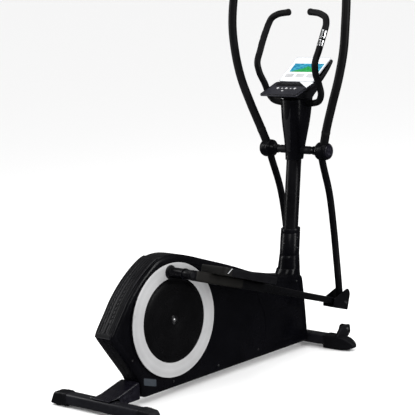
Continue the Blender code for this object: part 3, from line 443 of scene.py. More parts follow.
# name: deep and light colour, roughness from and to, grain (fineness, depth in mm), colour of
# rubbed edges, amounts of wear and dust, then what differs from the usual
finishes = {
    "housingGloss": ((0.0008, 0.0008, 0.0013), (0.002, 0.002, 0.003), (0.2, 0.3), (1400, 0.03),
        (0.02, 0.02, 0.026), 0.3, 0.05, {"shine": 0.08}),
    "deckGloss": ((0.002, 0.0018, 0.0036), (0.0045, 0.004, 0.0075), (0.22, 0.32), (1200, 0.03),
        (0.06, 0.06, 0.075), 0.3, 0.05, {"shine": 0.16}),
    "discGloss": ((0.001, 0.001, 0.0012), (0.0024, 0.0024, 0.0028), (0.22, 0.3), (1200, 0.03),
        (0.16, 0.16, 0.17), 0.2, 0.02, {"shine": 0.1, "turned": (900, 0.35)}),
    "powderPaint": ((0.001, 0.001, 0.0014), (0.0024, 0.0024, 0.0032), (0.24, 0.36), (650, 0.1),
        (0.025, 0.025, 0.03), 0.35, 0.04, {"shine": 0.11}),
    "mouldedPlastic": ((0.0022, 0.0022, 0.003), (0.0046, 0.0046, 0.006), (0.38, 0.5),
        (1100, 0.1), (0.03, 0.03, 0.036), 0.35, 0.05, {"shine": 0.1}),
    "baseTube": ((0.004, 0.004, 0.0056), (0.008, 0.008, 0.0105), (0.34, 0.46), (700, 0.1),
        (0.04, 0.04, 0.048), 0.35, 0.06, {"shine": 0.12}),
    "armSleeve": ((0.006, 0.0056, 0.005), (0.011, 0.0102, 0.0092), (0.5, 0.62), (900, 0.15),
        (0.04, 0.038, 0.034), 0.3, 0.05, {"shine": 0.12}),
    # lighter finish of the tray's rear: partly its own matte grey, partly a painted lit side
    "treadPlastic": ((0.005, 0.0048, 0.0046), (0.0095, 0.009, 0.0085), (0.5, 0.62), (800, 0.2),
        (0.04, 0.04, 0.038), 0.4, 0.08, {"shine": 0.12}),
    "gripFoam": ((0.0015, 0.0015, 0.0019), (0.0034, 0.0034, 0.0042), (0.46, 0.6), (1500, 0.35),
        (0.03, 0.03, 0.035), 0.25, 0.06, {"shine": 0.11}),
    "silverRing": ((0.34, 0.34, 0.345), (0.4, 0.4, 0.405), (0.26, 0.34), (1200, 0.03),
        (0.8, 0.8, 0.8), 0.15, 0.04, {"shine": 0.5, "metal": 0.15, "turned": (1100, 0.3)}),
    "sensorSteel": ((0.62, 0.63, 0.65), (0.74, 0.75, 0.77), (0.14, 0.24), (1400, 0.02),
        (0.85, 0.85, 0.86), 0.2, 0.04, {"metal": 1.0}),
    "zincSteel": ((0.34, 0.34, 0.35), (0.46, 0.46, 0.47), (0.28, 0.42), (900, 0.05),
        (0.7, 0.7, 0.7), 0.3, 0.08, {"metal": 1.0}),
    "darkSteel": ((0.012, 0.012, 0.014), (0.024, 0.024, 0.027), (0.26, 0.38), (900, 0.05),
        (0.4, 0.4, 0.4), 0.5, 0.05, {"metal": 0.9}),
    "castIron": ((0.1, 0.1, 0.105), (0.16, 0.155, 0.15), (0.45, 0.65), (420, 0.4),
        (0.5, 0.5, 0.5), 0.5, 0.1, {"metal": 0.85}),
    "rubber": ((0.0024, 0.0024, 0.0026), (0.0048, 0.0048, 0.0052), (0.66, 0.8), (700, 0.3),
        (0.02, 0.02, 0.02), 0.35, 0.1, {"shine": 0.12}),
    "screenWhite": ((0.74, 0.77, 0.79), (0.84, 0.86, 0.88), (0.16, 0.24), (1400, 0.01),
        (0.9, 0.9, 0.9), 0.1, 0.03, {"coat": 0.4}),
    # pale bluish grey of the plate by the foot: a painted highlight
    "paintedGleamGrey": ((0.016, 0.021, 0.027), (0.03, 0.037, 0.046), (0.3, 0.42), (1200, 0.05),
        (0.1, 0.1, 0.12), 0.2, 0.05, {"shine": 0.3}),
    "edgeGrey": ((0.26, 0.27, 0.3), (0.36, 0.37, 0.4), (0.3, 0.4), (1200, 0.05), (0.5, 0.5, 0.5),
        0.2, 0.05, {}),
    "keyWhite": ((0.4, 0.41, 0.42), (0.5, 0.5, 0.51), (0.34, 0.44), (1200, 0.05),
        (0.8, 0.8, 0.8), 0.2, 0.05, {}),
    "plateGrey": ((0.012, 0.012, 0.016), (0.02, 0.02, 0.026), (0.22, 0.32), (1400, 0.03),
        (0.06, 0.06, 0.07), 0.3, 0.03, {"shine": 0.25})}
(glossy, deckGloss, discGloss, paint, moulded, baseTube, sleeveGrey, treadGrey, foam, silver,
 chrome, steel, darkSteel, iron, rubber, screenWhite, paintedGleamGrey, edgeGrey, keyWhite,
 plateGrey) = [
    finish(name, *plain, **further) for name, (*plain, further) in finishes.items()]


# Screen picture: a cyan field with soft green hills, worked out from height and noise, with a faint
# painted glow.
def bannerFinish():
    material = finish("screenBanner", (0.05, 0.50, 0.66), (0.09, 0.62, 0.76), (0.16, 0.22),
                      (1400, 0.01), (0.16, 0.16, 0.17), wear=0.0, dust=0.0, coat=0.4)
    tree = material.node_tree
    surface = tree.nodes["Principled BSDF"]
    place = put(tree, "ShaderNodeTexCoord").outputs["Object"]
    parts = put(tree, "ShaderNodeSeparateXYZ")
    tree.links.new(place, parts.inputs[0])
    ridge = maths(tree, "ADD", parts.outputs["Z"],
                  maths(tree, "MULTIPLY", noise(tree, place, 38, 3), -0.030))
    sky = blend(tree, spread(tree, noise(tree, place, 60, 4), 0.4, 0.65),
                (0.004, 0.13, 0.26, 1), (0.05, 0.34, 0.46, 1))
    hill = blend(tree, spread(tree, noise(tree, place, 140, 4), 0.35, 0.7),
                 (0.006, 0.20, 0.03, 1), (0.03, 0.34, 0.10, 1))
    fromMiddle = maths(tree, "ABSOLUTE", maths(tree, "ADD", parts.outputs["X"], -0.012))
    bowl = maths(tree, "ADD", ridge, maths(tree, "MULTIPLY", fromMiddle, 0.30))
    colour = blend(tree, spread(tree, bowl, 1.2600, 1.2650), hill, sky)
    tree.links.new(colour, surface.inputs["Base Color"])
    # The picture's colours also go to emission: a painted glow, as the sheet gives no light of its
    # own
    tree.links.new(colour, surface.inputs["Emission Color"])
    surface.inputs["Emission Strength"].default_value = 0.06
    return material


banner = bannerFinish()
print("materials made")

# CAD nodes that keep their own mesh
kept = {
    "main_rail": paint, "mast_axle": darkSteel, "brake_servo": moulded, "crank_axle": steel,
    "drive_pulley": moulded, "flywheel": iron, "flywheel_bracket": paint, "drive_belt": rubber,
    "magnet_brake": steel, "crank_plate_left": paint, "crank_plate_right": paint,
    "crank_bearing_left": steel, "crank_bearing_right": steel, "crank_arm_left": paint,
    "crank_arm_right": paint, "fork_pin_left": darkSteel, "fork_pin_right": darkSteel}
for node, material in kept.items():
    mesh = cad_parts[node].data
    mesh.materials.clear()
    mesh.materials.append(material)


housing = {
    "outline": [
        (-0.160, 0.030), (-0.168, 0.105), (-0.202, 0.154), (-0.250, 0.222), (-0.300, 0.294),
        (-0.314, 0.316), (-0.290, 0.350), (-0.261, 0.387), (-0.209, 0.454), (-0.136, 0.522),
        (-0.064, 0.570), (-0.008, 0.596), (0.060, 0.599), (0.130, 0.583), (0.200, 0.560),
        (0.278, 0.531), (0.370, 0.498), (0.459, 0.464), (0.553, 0.424), (0.660, 0.392),
        (0.770, 0.364), (0.840, 0.353), (0.880, 0.347), (0.895, 0.335), (0.903, 0.260),
        (0.908, 0.160), (0.910, 0.060), (0.907, 0.030), (0.800, 0.030), (0.640, 0.030),
        (0.480, 0.030), (0.320, 0.030), (0.160, 0.030), (0.0, 0.030), (-0.100, 0.030)],
    "corner": 0.030, "halfWidth": (0.054, 0.055), "widens": (0.25, 0.65), "bore": 0.0225,
    "wall": 0.0025, "spine": ((0.03, 0.320), (0.72, 0.200)),
    "seam": ((0.0016, 0.0005), (0.0, 0.0020)),     # inset from the outline, place from middle
    "crown": 0.020, "flatShare": 0.70,
    "groove": {"at": 0.0320, "wide": 0.0045, "deep": 0.0016, "fades": (0.10, 0.20)},
    "faceRings": (0.12, 0.25, 0.4, 0.55, 0.7, 0.85, 1.0)}


# Half width w(f) = w0 + (w1 - w0) s^2 (3 - 2 s), with s from 0 to 1 over the widening stretch
# of the forward distance.
def halfWidthAt(y):
    first, length = housing["widens"]
    s = np.clip((y - stationY - first) / length, 0, 1)
    low, high = housing["halfWidth"]
    return low + (high - low) * s * s * (3 - 2 * s)


# Rings run from the seam over the rounded rim, where the ring at angle a has the share
# q + (1 - q) sin a of the half width and lies crown (1 - cos a) in from the outline, along a
# groove, and over the flat side to the crank bore. Inwards means towards a spine line.
def housingShell(side):
    sign = handed[side]
    outline = ahead(softened(housing["outline"], housing["corner"], 5))
    spine = ahead(housing["spine"])
    run = spine[1] - spine[0]
    share = np.clip(((outline - spine[0]) @ run) / (run @ run), 0, 1)[:, None]
    inner = spine[0] + share * run
    inward = (inner - outline) / np.linalg.norm(inner - outline, axis=1, keepdims=True)
    angle = np.linspace(0, math.pi / 2, 7)
    q, crown = housing["flatShare"], housing["crown"]
    at, wide, deep, fades = housing["groove"].values()
    sinks = np.clip((outline[:, 1] - fades[0]) / (fades[1] - fades[0]), 0, 1)
    lines = [(inset, place / housing["halfWidth"][0], 0.0) for inset, place in housing["seam"]]
    lines += [(crown * (1 - c), q + (1 - q) * s, 0.0) for s, c in zip(np.sin(angle), np.cos(angle))]
    lines += [(at - 0.0006, 1, 0.0), (at, 1, 0.6 * deep), (at + 0.0008, 1, deep),
              (at + wide, 1, deep), (at + wide + 0.0012, 1, 0.5 * deep),
              (at + wide + 0.004, 1, 0.35 * deep)]
    rings = []
    for inset, part, sunk in lines:
        yz = outline + inward * inset
        rings.append(np.column_stack([sign * (part * halfWidthAt(yz[:, 0]) - sunk * sinks), yz]))
    rim = outline + inward * lines[-1][0]
    turn = np.arctan2(outline[:, 1] - crankZ, outline[:, 0] - crankY)
    bore = housing["bore"] * np.column_stack([np.cos(turn), np.sin(turn)]) + axleCentre
    for s in housing["faceRings"]:
        yz = rim * (1 - s) + bore * s
        x = halfWidthAt(yz[:, 0]) - lines[-1][2] * sinks
        rings.append(np.column_stack([sign * x, yz]))
    shell = piece(f"housing_shell_{side}_skin", grid(rings, ends="open", outward=sign), glossy,
                  "frame", ["housing_shell_" + side], sharp=30)
    wall = shell.modifiers.new("wall", "SOLIDIFY")
    wall.thickness = housing["wall"]
    wall.offset = -1


for side in handed:
    housingShell(side)

frontPanel = {     # raised, with a curved rear edge
    "outline": [(0.548, 0.374), (0.574, 0.322), (0.592, 0.271), (0.612, 0.230), (0.619, 0.185),
                (0.617, 0.140), (0.606, 0.102), (0.590, 0.070), (0.868, 0.070), (0.862, 0.300),
                (0.838, 0.312), (0.770, 0.322), (0.660, 0.349)],
    "corner": 0.020, "depth": (0.0520, 0.0564), "edge": 0.0014}
sideScrews = {     # dished heads
    "head": [(0, 0.0548), (0.0018, 0.0546), (0.0022, 0.0561), (0.0043, 0.0557),
             (0.0052, 0.0545), (0.0052, 0.0530), (0, 0.0530)],
    "places": [(-0.205, 0.205), (0.300, 0.485), (0.560, 0.070), (0.300, 0.060),
               (0.020, 0.060), (0.846, 0.322)]}
# Lighter plate low on the housing's rear side: its colour is a painted highlight, a gleam of light
# there
footPaintedGleam = {"outline": [(-0.152, 0.086), (-0.082, 0.064), (-0.080, 0.094), (-0.150, 0.116)],
             "corner": 0.006, "depth": (0.0530, 0.0551), "edge": 0.0005}


# A slab with softened corners on the housing's side, from a dictionary.
def sidePlate(side, plate):
    outline = ahead(softened(plate["outline"], plate["corner"], 5))
    return sideSlab(side, outline, *plate["depth"], plate["edge"])


for side, sign in handed.items():
    piece("housing_front_panel_" + side, sidePlate(side, frontPanel), glossy,
          "frame")
    heads = [turnedOn(sign, sideScrews["head"], place, 20) for place in ahead(sideScrews["places"])]
    piece("housing_screws_" + side, joined(*heads), darkSteel, "frame")
for side in handed:
    # The plate by the foot is drawn lighter than the housing as a painted highlight
    piece("housing_foot_painted_gleam_" + side, sidePlate(side, footPaintedGleam), paintedGleamGrey,
          "frame")

rearCover = {
    "halfWidth": 0.046, "under": 0.0006, "over": 0.0060, "count": (180, 61),
    "grooves": {"places": (0.0080, 0.0230, 0.0335, 0.0400), "deep": 0.0036, "wide": 0.0018,
                "reach": 0.46, "fade": 0.02},
    "slots": {"many": 22, "place": 0.0155, "half": 0.0045, "deep": 0.0022, "slant": 0.012 / 0.018,
              "reach": (0.20, 0.88)},
    "pocket": {"half": 0.0052, "at": 0.10, "long": 0.055, "deep": 0.0028},
    "edge": {"from": 0.043, "wide": 0.003, "deep": 0.0040},
    "ends": {"fade": 0.05, "least": 0.16, "power": 0.6}}


# Band on the rear spine. Its height is h(x, s) = over - deep e^-(((|x| - g) / w)^2) for each long
# groove g, less the slanted cross slots between the inner grooves, a pocket near the lower end
# and a fall at both edges, and it fades at the ends.
def rearCoverShape():
    count, across = rearCover["count"]
    line = smoothPath(ahead(housing["outline"][5:12]), count)
    along = np.gradient(line, axis=0)
    along /= np.linalg.norm(along, axis=1, keepdims=True)
    outward = np.stack([-along[:, 1], along[:, 0]], 1)
    x = np.linspace(-rearCover["halfWidth"], rearCover["halfWidth"], across)[None]
    s = np.linspace(0, 1, count)[:, None]
    height = rearCover["over"] * np.ones((count, across))
    groove, slot, pocket = rearCover["grooves"], rearCover["slots"], rearCover["pocket"]
    edge, ends = rearCover["edge"], rearCover["ends"]
    inside = np.clip((groove["reach"] - np.abs(s - 0.5)) / groove["fade"], 0, 1)
    for place in groove["places"]:
        dip = np.exp(-((np.abs(x) - place) / groove["wide"]) ** 2)
        height -= groove["deep"] * dip * inside
    wave = np.sin(math.tau * slot["many"] * (s - slot["slant"] * np.abs(x)))
    fromSlot = np.abs(np.abs(x) - slot["place"])
    reach = (s > slot["reach"][0]) * (s < slot["reach"][1])
    height -= slot["deep"] * np.clip(wave * 2.2 - 1.0, 0, 1) * (fromSlot < slot["half"]) * reach
    height -= (pocket["deep"] * (fromSlot < pocket["half"])
               * (np.abs(s - pocket["at"]) < pocket["long"]))
    height -= edge["deep"] * np.clip((np.abs(x) - edge["from"]) / edge["wide"], 0, 1) ** 2
    height *= np.clip(np.minimum(s, 1 - s) / ends["fade"], ends["least"], 1) ** ends["power"]

    def lifted(by):
        yz = line[:, None] + outward[:, None] * np.broadcast_to(by, height.shape)[..., None]
        return np.concatenate([np.broadcast_to(x, height.shape)[..., None], yz], -1)

    under = lifted(rearCover["under"])
    return grid(np.concatenate([lifted(height), under[:, ::-1]], 1), ends="flat")


piece("housing_rear_vent", rearCoverShape(), moulded, "frame",
      ["housing_rear_cover"], sharp=32)
print("housing made")


mast = {     # rings are (z, rx, ry, shift, power, tilt)
    "foot": (0.8146, 0.095), "lean": 0.160,
    "tube": [(z, 0.034, 0.034, 0, 2, 0) for z in (0.0953, 0.45, 0.80, 1.0967)],
    "sleeve": [(z, r, r, 0, 2, 0) for z, r in (
        (0.4378, 0.0346), (0.4378, 0.0440), (0.4386, 0.0449), (0.4400, 0.0452), (0.4450, 0.0452),
        (0.5350, 0.0445), (0.5362, 0.0436), (0.5376, 0.0436), (0.5388, 0.0444), (0.5540, 0.0440),
        (0.5562, 0.0432), (0.5570, 0.0418), (0.5570, 0.0346))],
    "bootStart": [(0.3400, 0.0346, 0.0346, -0.004, 2, -0.16),
                  (0.3400, 0.0530, 0.0590, -0.006, 2.2, -0.16)],
    "bootCurve": [(0.3440, 0.0538, 0.0600, -0.006, 2.2, -0.16),
                  (0.3560, 0.0530, 0.0560, -0.005, 2.2, -0.16),
                  (0.3700, 0.0515, 0.0525, -0.003, 2.1, -0.10),
                  (0.3920, 0.0495, 0.0496, 0, 2, 0), (0.4150, 0.0476, 0.0476, 0, 2, 0),
                  (0.4360, 0.0460, 0.0460, 0, 2, 0)],
    "bootEnd": [(0.4372, 0.0448, 0.0448, 0, 2, 0), (0.4372, 0.0346, 0.0346, 0, 2, 0)],
    "shroudStart": [(0.8650, 0.0350, 0.0350, 0.002, 2.2, 0),
                    (0.8650, 0.0366, 0.0376, 0.003, 2.4, 0)],
    "shroudCurve": [(0.866, 0.0378, 0.0388, 0.003, 2.5, 0), (0.900, 0.0392, 0.0420, 0.003, 2.6, 0),
                    (0.960, 0.0440, 0.0520, 0.003, 2.7, 0), (1.040, 0.0520, 0.0660, 0.001, 2.8, 0),
                    (1.137, 0.0580, 0.0750, -0.002, 2.9, 0)],
    "shroudEnd": [(1.1380, 0.0565, 0.0735, -0.002, 2.9, 0)],
    "bib": {"z": (0.905, 1.118), "half": (0.010, 0.016), "stand": 0.0022, "back": 0.0030,
            "section": [(-1, -0.3), (-0.96, 0.75), (-0.86, 1), (0.86, 1), (0.96, 0.75), (1, -0.3)]},
    "screws": {"side": (0.470, 0.515), "rear": (0.492,), "out": (0.0436, 0.0438),
               "head": (0.0055, 0.0022)},
    "bush": [(0.0116, 0.036), (0.0185, 0.036), (0.0185, 0.086), (0.0165, 0.0895),
             (0.0165, 0.0985), (0.0116, 0.0985)]}


def mastCentre(z):
    return stationY + mast["foot"][0] + mast["lean"] * (z - mast["foot"][1])


# Rings up the leaning mast: x = rx |cos a|^(2/n) and y = c(z) + shift + ry |sin a|^(2/n), both
# signed, and z tilts with y.
def mastRings(rows, around=72):
    z, rx, ry, shift, power, tilt = np.asarray(rows, float).T[:, :, None]
    a = np.linspace(0, math.tau, around, endpoint=False)[None]
    cos, sin = np.cos(a), np.sin(a)
    x = rx * np.sign(cos) * np.abs(cos) ** (2 / power)
    y = ry * np.sign(sin) * np.abs(sin) ** (2 / power)
    return np.stack([x, mastCentre(z) + shift + y, z + tilt * y], -1)


# Bevelled bib on the rear face of the shroud: it widens upwards and follows the face's depth.
def shroudBib():
    bib = mast["bib"]
    z = np.linspace(*bib["z"], 40)
    face = smoothPath([(0.900, 0.0420)] + [(row[0], row[2]) for row in mast["shroudCurve"][2:]], 60)
    depth = np.interp(z, face[:, 0], face[:, 1])
    half = bib["half"][0] + bib["half"][1] * (z - z[0]) / (z[-1] - z[0])
    across, stand = np.array(bib["section"]).T
    x = across[None] * half[:, None]
    y = (mastCentre(z) - depth + bib["back"])[:, None] - bib["stand"] * stand[None]
    return grid(np.stack([x, y, np.broadcast_to(z[:, None], x.shape)], -1), ends="flat")


# A domed round head: at angle a the radius is r cos a and the height stand sin a.
def button(place, way, radius, stand, sides=24):
    a = np.linspace(0, math.pi / 2, 6)
    dome = np.column_stack([radius * np.cos(a), stand * np.sin(a)])
    dome[-1, 0] = 0.0
    cup = [(0, -0.002), (radius, -0.002)]
    return lathe(np.vstack([cup, dome]), place, sides, along=way)


piece("mast_tube_round", grid(mastRings(mast["tube"]), ends="flat"), paint,
      "frame", ["mast_tube"])
piece("mast_sleeve_collar", grid(mastRings(mast["sleeve"]), loop=True), glossy,
      "frame", ["mast_sleeve"])
bootRows = np.vstack([mast["bootStart"], smoothPath(mast["bootCurve"], 26), mast["bootEnd"]])
piece("mast_boot_flare", grid(mastRings(bootRows), loop=True), glossy,
      "frame", ["mast_boot"])
shroudRows = np.vstack([mast["shroudStart"], smoothPath(mast["shroudCurve"], 40),
                        mast["shroudEnd"]])
piece("mast_shroud_flare", grid(mastRings(shroudRows), ends="flat"), glossy,
      "frame", ["mast_upper_shroud"])
piece("mast_shroud_bib", shroudBib(), moulded, "frame")
screws = mast["screws"]
sleeveScrews = [button((sign * screws["out"][0], mastCentre(z), z), (sign, 0, 0), *screws["head"])
                for sign in handed.values() for z in screws["side"]]
sleeveScrews += [button((0, mastCentre(z) - screws["out"][1], z), (0, -1, 0), *screws["head"])
                 for z in screws["rear"]]
piece("mast_sleeve_screws", joined(*sleeveScrews), darkSteel, "frame")
for side, sign in handed.items():
    piece("mast_axle_bush_" + side, turnedOn(sign, mast["bush"], pivot, 48, 0.001, loop=True),
          moulded, "frame")
print("mast made")


handlebar = {
    "middle": (0.0, 0.985, 1.1165),
    "right": [(0.056, 0.985, 1.1165), (0.100, 0.981, 1.119), (0.134, 0.974, 1.130),
              (0.154, 0.966, 1.158), (0.160, 0.949, 1.205), (0.165, 0.922, 1.260),
              (0.169, 0.916, 1.300), (0.172, 0.945, 1.360), (0.172, 0.990, 1.440),
              (0.170, 1.008, 1.470), (0.158, 1.020, 1.498), (0.130, 1.024, 1.513),
              (0.067, 1.030, 1.523)],
    "radius": 0.0150,
    "cap": [(0, 0.012), (0.0100, 0.0118), (0.0150, 0.0085), (0.0158, 0.004), (0.0158, -0.006),
            (0, -0.006)]}
pulse = {"seam": {"right": -46, "left": 176}, "gap": 11, "spread": 50, "radii": (0.0146, 0.0160),
         "heights": ((1.373, 1.402), (1.409, 1.440))}
barRight = ahead(handlebar["right"])
barPath = np.vstack([(barRight * (-1, 1, 1))[::-1], ahead([handlebar["middle"]]), barRight])
piece("fixed_handlebar_tube", roundTube(barPath, handlebar["radius"], 260, 32, True, True), foam,
      "frame", ["fixed_handlebar"])
rightBar = smoothPath(barRight, 300)


# The part of the right-hand upright between two heights.
def barStretch(low, high):
    x, _, z = rightBar.T
    return rightBar[(z > low) & (z < high) & (x > 0.15)]


# Part-round section: out along the outer radius and back along the inner one.
def arcSection(inner, outer, start, end, steps=18):
    a = np.radians(np.linspace(start, end, steps))
    arc = np.column_stack([np.cos(a), np.sin(a)])
    return np.vstack([outer * arc, inner * arc[::-1]])


for side, sign in handed.items():
    plates = []
    seam, gap, far = pulse["seam"][side], pulse["gap"], pulse["spread"]
    for low, high in pulse["heights"]:
        path = barStretch(low, high) * (sign, 1, 1)
        swell = 1 - 0.03 * (np.abs(np.linspace(-1, 1, len(path))) > 0.93)
        for turn in ((seam - far, seam - gap), (seam + gap, seam + far)):
            plates.append(sweep(path, arcSection(*pulse["radii"], *turn), scale=swell, ends="flat"))
    piece("pulse_plates_" + side, joined(*plates), chrome, "frame")
    endCapShape = lathe(softened(handlebar["cap"], 0.003, 4, ends=True),
                        barRight[-1] * (sign, 1, 1), 32, along=(-sign, 0.06, 0.10))
    piece("bar_end_cap_" + side, endCapShape, rubber, "frame")
print("handlebar made")


keyPlate = {     # the sloping plate with the buttons, from (forward, height) to (forward, height)
    "line": ((0.846, 1.168), (0.972, 1.2115)), "halfWidth": 0.108, "corner": 0.014,
    "thick": (-0.0080, 0.0), "edge": 0.0020, "way": (0, -0.3263, 0.9453),
    "lip": {"line": ((0.8467, 1.1682), (0.9714, 1.2113)), "halfWidth": 0.1072, "corner": 0.0135,
            "width": 0.0052, "height": (-0.0015, 0.0016)},
    "keys": (-0.050, 0.0, 0.050), "keyShare": 0.52,
    "cap": [(0, 0.0022), (0.0050, 0.0024), (0.0063, 0.0016), (0.0065, 0.0), (0.0065, -0.0045),
            (0, -0.0045)],
    "well": [(0.0071, -0.0012), (0.0071, 0.0006), (0.0086, 0.0008), (0.0096, 0.0001),
             (0.0096, -0.0012)],
    "marks": [(-0.025, 0.52, 0.0042, 0.0030, 0.001), (0.025, 0.52, 0.0042, 0.0030, 0.001),
              (-0.006, 0.34, 0.0050, 0.0040, 0.002)],     # x, share, half sizes, corner
    "window": {"shares": (0.70, 0.92), "halfWidth": 0.085, "corner": 0.006,
               "thick": (-0.0006, 0.0008), "edge": 0.0004}}
consoleBody = {
    "outline": [(0.940, 1.139), (0.895, 1.153), (0.872, 1.164), (0.900, 1.174), (0.966, 1.196),
                (1.000, 1.2135), (1.045, 1.236), (1.084, 1.267), (1.118, 1.302), (1.129, 1.292),
                (1.096, 1.255), (1.056, 1.221), (1.028, 1.200), (1.022, 1.139)],
    "corner": 0.014, "halfWidth": 0.105, "edge": 0.005,
    "tuck": {"from": 1.192, "over": 0.050, "share": 0.36},     # narrower under the plate
    "cheek": [(1.010, 1.2080), (1.050, 1.2330), (1.088, 1.2630), (1.1215, 1.2990)],
    "cheekPlace": 0.1015, "cheekSection": (0.0050, 0.0088)}
screen = {
    "line": ((0.9835, 1.2086), (1.1205, 1.3030)), "halfWidth": 0.100, "corner": 0.008,
    "thick": (0.0030, 0.0085), "edge": 0.0015,
    "lip": {"line": ((0.9827, 1.2081), (1.1212, 1.3035)), "halfWidth": 0.1006, "corner": 0.0086,
            "width": 0.0018, "height": (0.0036, 0.0089)},
    "picture": {"along": (0.064, 0.122), "across": (-0.080, 0.092), "top": 0.0090},
    "readouts": {"along": (0.026, 0.052), "places": (-0.062, 0.0, 0.062), "half": 0.024,
                 "top": 0.0089},
    "patchUnder": 0.0080, "patchCorner": 0.003,
    "fold": [(0.030, 1.0), (0.1085, 0.60), (0.1085, 1.0)], "foldCorner": 0.004}


def lengthOf(line):
    return np.linalg.norm(np.array(line[1]) - line[0])


# (y, z) of a place on a sloping line from its share of the run and its height above it.
def onSlope(share, height, line=keyPlate["line"]):
    share, height = np.broadcast_arrays(np.asarray(share, float), np.asarray(height, float))
    start, end = line
    run = np.array(end) - start
    length = np.linalg.norm(run)
    return np.stack([stationY + start[0] + run[0] * share - run[1] / length * height,
                     start[1] + run[1] * share + run[0] / length * height], -1)


# A flat outline (across, along) laid on a slope and carried through levels (move, height): each
# ring is moved in and lifted by its own pair.
def slopePlate(outline, levels, line=keyPlate["line"], x=0.0, share=0.0, loop=False):
    rows = []
    for move, height in levels:
        ring = inwards(outline, move)
        yz = onSlope(share + ring[:, 1] / lengthOf(line), height, line)
        rows.append(np.column_stack([x + ring[:, 0], yz]))
    return grid(rows, ends="flat", loop=loop)


# The four-cornered outline of a plate that covers a whole sloping line.
def plateOutline(line, halfWidth, corner):
    run = lengthOf(line)
    return softened([(-halfWidth, 0), (halfWidth, 0), (halfWidth, run), (-halfWidth, run)],
                    corner, 8)


def thickPlate(plate):
    outline = plateOutline(plate["line"], plate["halfWidth"], plate["corner"])
    return slopePlate(outline, bevel(*plate["thick"], plate["edge"]), plate["line"])


# A raised lip round a plate: rings up its outer side, over its top and down its inner side.
def plateLip(lip):
    outline = plateOutline(lip["line"], lip["halfWidth"], lip["corner"])
    (low, high), width = lip["height"], lip["width"]
    levels = ((0, low), (0.0002, high - 0.0006), (0.0008, high), (width - 0.0008, high),
              (width, high - 0.0006), (width, low))
    return slopePlate(outline, levels, lip["line"], loop=True)


# A small raised mark on the button plate.
def plateMark(x, share, halfAcross, halfAlong, corner):
    outline = softened([(-halfAcross, -halfAlong), (halfAcross, -halfAlong),
                        (halfAcross, halfAlong), (-halfAcross, halfAlong)], corner, 5)
    levels = ((0, -0.0005), (0, 0.0004), (0.0003, 0.0007))
    return slopePlate(outline, levels, x=x, share=share)


# A thin plate over part of the screen.
def screenPatch(along, across, top):
    (low, high), (left, right) = along, across
    outline = softened([(left, low), (right, low), (right, high), (left, high)],
                       screen["patchCorner"], 6)
    levels = ((0, screen["patchUnder"]), (0, top - 0.0003), (0.0003, top))
    return slopePlate(outline, levels, screen["line"])


shellPoints, shellFaces = slab(
    ahead(softened(consoleBody["outline"], consoleBody["corner"], 5)),
    -consoleBody["halfWidth"], consoleBody["halfWidth"], consoleBody["edge"], 5)
tuck = consoleBody["tuck"]
under = np.clip((tuck["from"] - shellPoints[:, 2]) / tuck["over"], 0, 1)
shellPoints[:, 0] *= 1 - tuck["share"] * under ** 2 * (3 - 2 * under)
piece("console_shell", (shellPoints, shellFaces), moulded,
      "frame", ["console_body"])
piece("console_keyboard_plate", thickPlate(keyPlate), plateGrey,
      "frame", ["console_faceplate"])
piece("console_plate_lip", plateLip(keyPlate["lip"]), moulded, "frame")
keyCap = softened(keyPlate["cap"], 0.0006, 3, ends=True)
for number, x in enumerate(keyPlate["keys"], 1):
    place = (x, *onSlope(keyPlate["keyShare"], 0.0))
    piece(f"button_{number}_cap", lathe(keyCap, place, 32, along=keyPlate["way"]), keyWhite,
          f"key_{number}", [f"button_{number}"])
    piece(f"button_{number}_ring",
          lathe(keyPlate["well"], place, 32, along=keyPlate["way"], loop=True), darkSteel,
          "frame")
piece("console_marks", joined(*[plateMark(*mark) for mark in keyPlate["marks"]]), keyWhite,
      "frame")
window = keyPlate["window"]
window["line"] = [onSlope(share, 0.0) - (stationY, 0) for share in window["shares"]]
piece("console_readout", thickPlate(window), glossy, "frame")

piece("display_sheet", thickPlate(screen), screenWhite,
      "frame", ["display_panel"])
piece("display_frame", plateLip(screen["lip"]), edgeGrey, "frame")
piece("display_picture", screenPatch(**screen["picture"]), banner, "frame")
readout = screen["readouts"]
readouts = [screenPatch(readout["along"], (x - readout["half"], x + readout["half"]),
                        readout["top"]) for x in readout["places"]]
piece("display_readouts", joined(*readouts), keyWhite, "frame")

# White corner of the screen that folds down over the right rear corner of the button plate
fold = softened(np.array(screen["fold"]) * (1, lengthOf(keyPlate["line"])),
                screen["foldCorner"], 5)
piece("display_corner", slopePlate(fold, ((0, 0.0002), (0, 0.0030), (0.0006, 0.0036))),
      screenWhite, "frame")

for side, sign in handed.items():
    line = ahead(consoleBody["cheek"])
    cheek = smoothPath(np.column_stack([np.full(4, sign * consoleBody["cheekPlace"]), line]), 60)
    share = np.linspace(0, 1, 60)
    blunt = np.sqrt(np.clip(1 - np.clip((share - 0.94) / 0.06, 0, 0.98) ** 2, 0, 1))
    blunt *= np.clip(share / 0.04, 0.3, 1)
    piece("console_cheek_" + side,
          sweep(cheek, circle(28) * consoleBody["cheekSection"], scale=blunt), moulded,
          "frame")
print("console made")


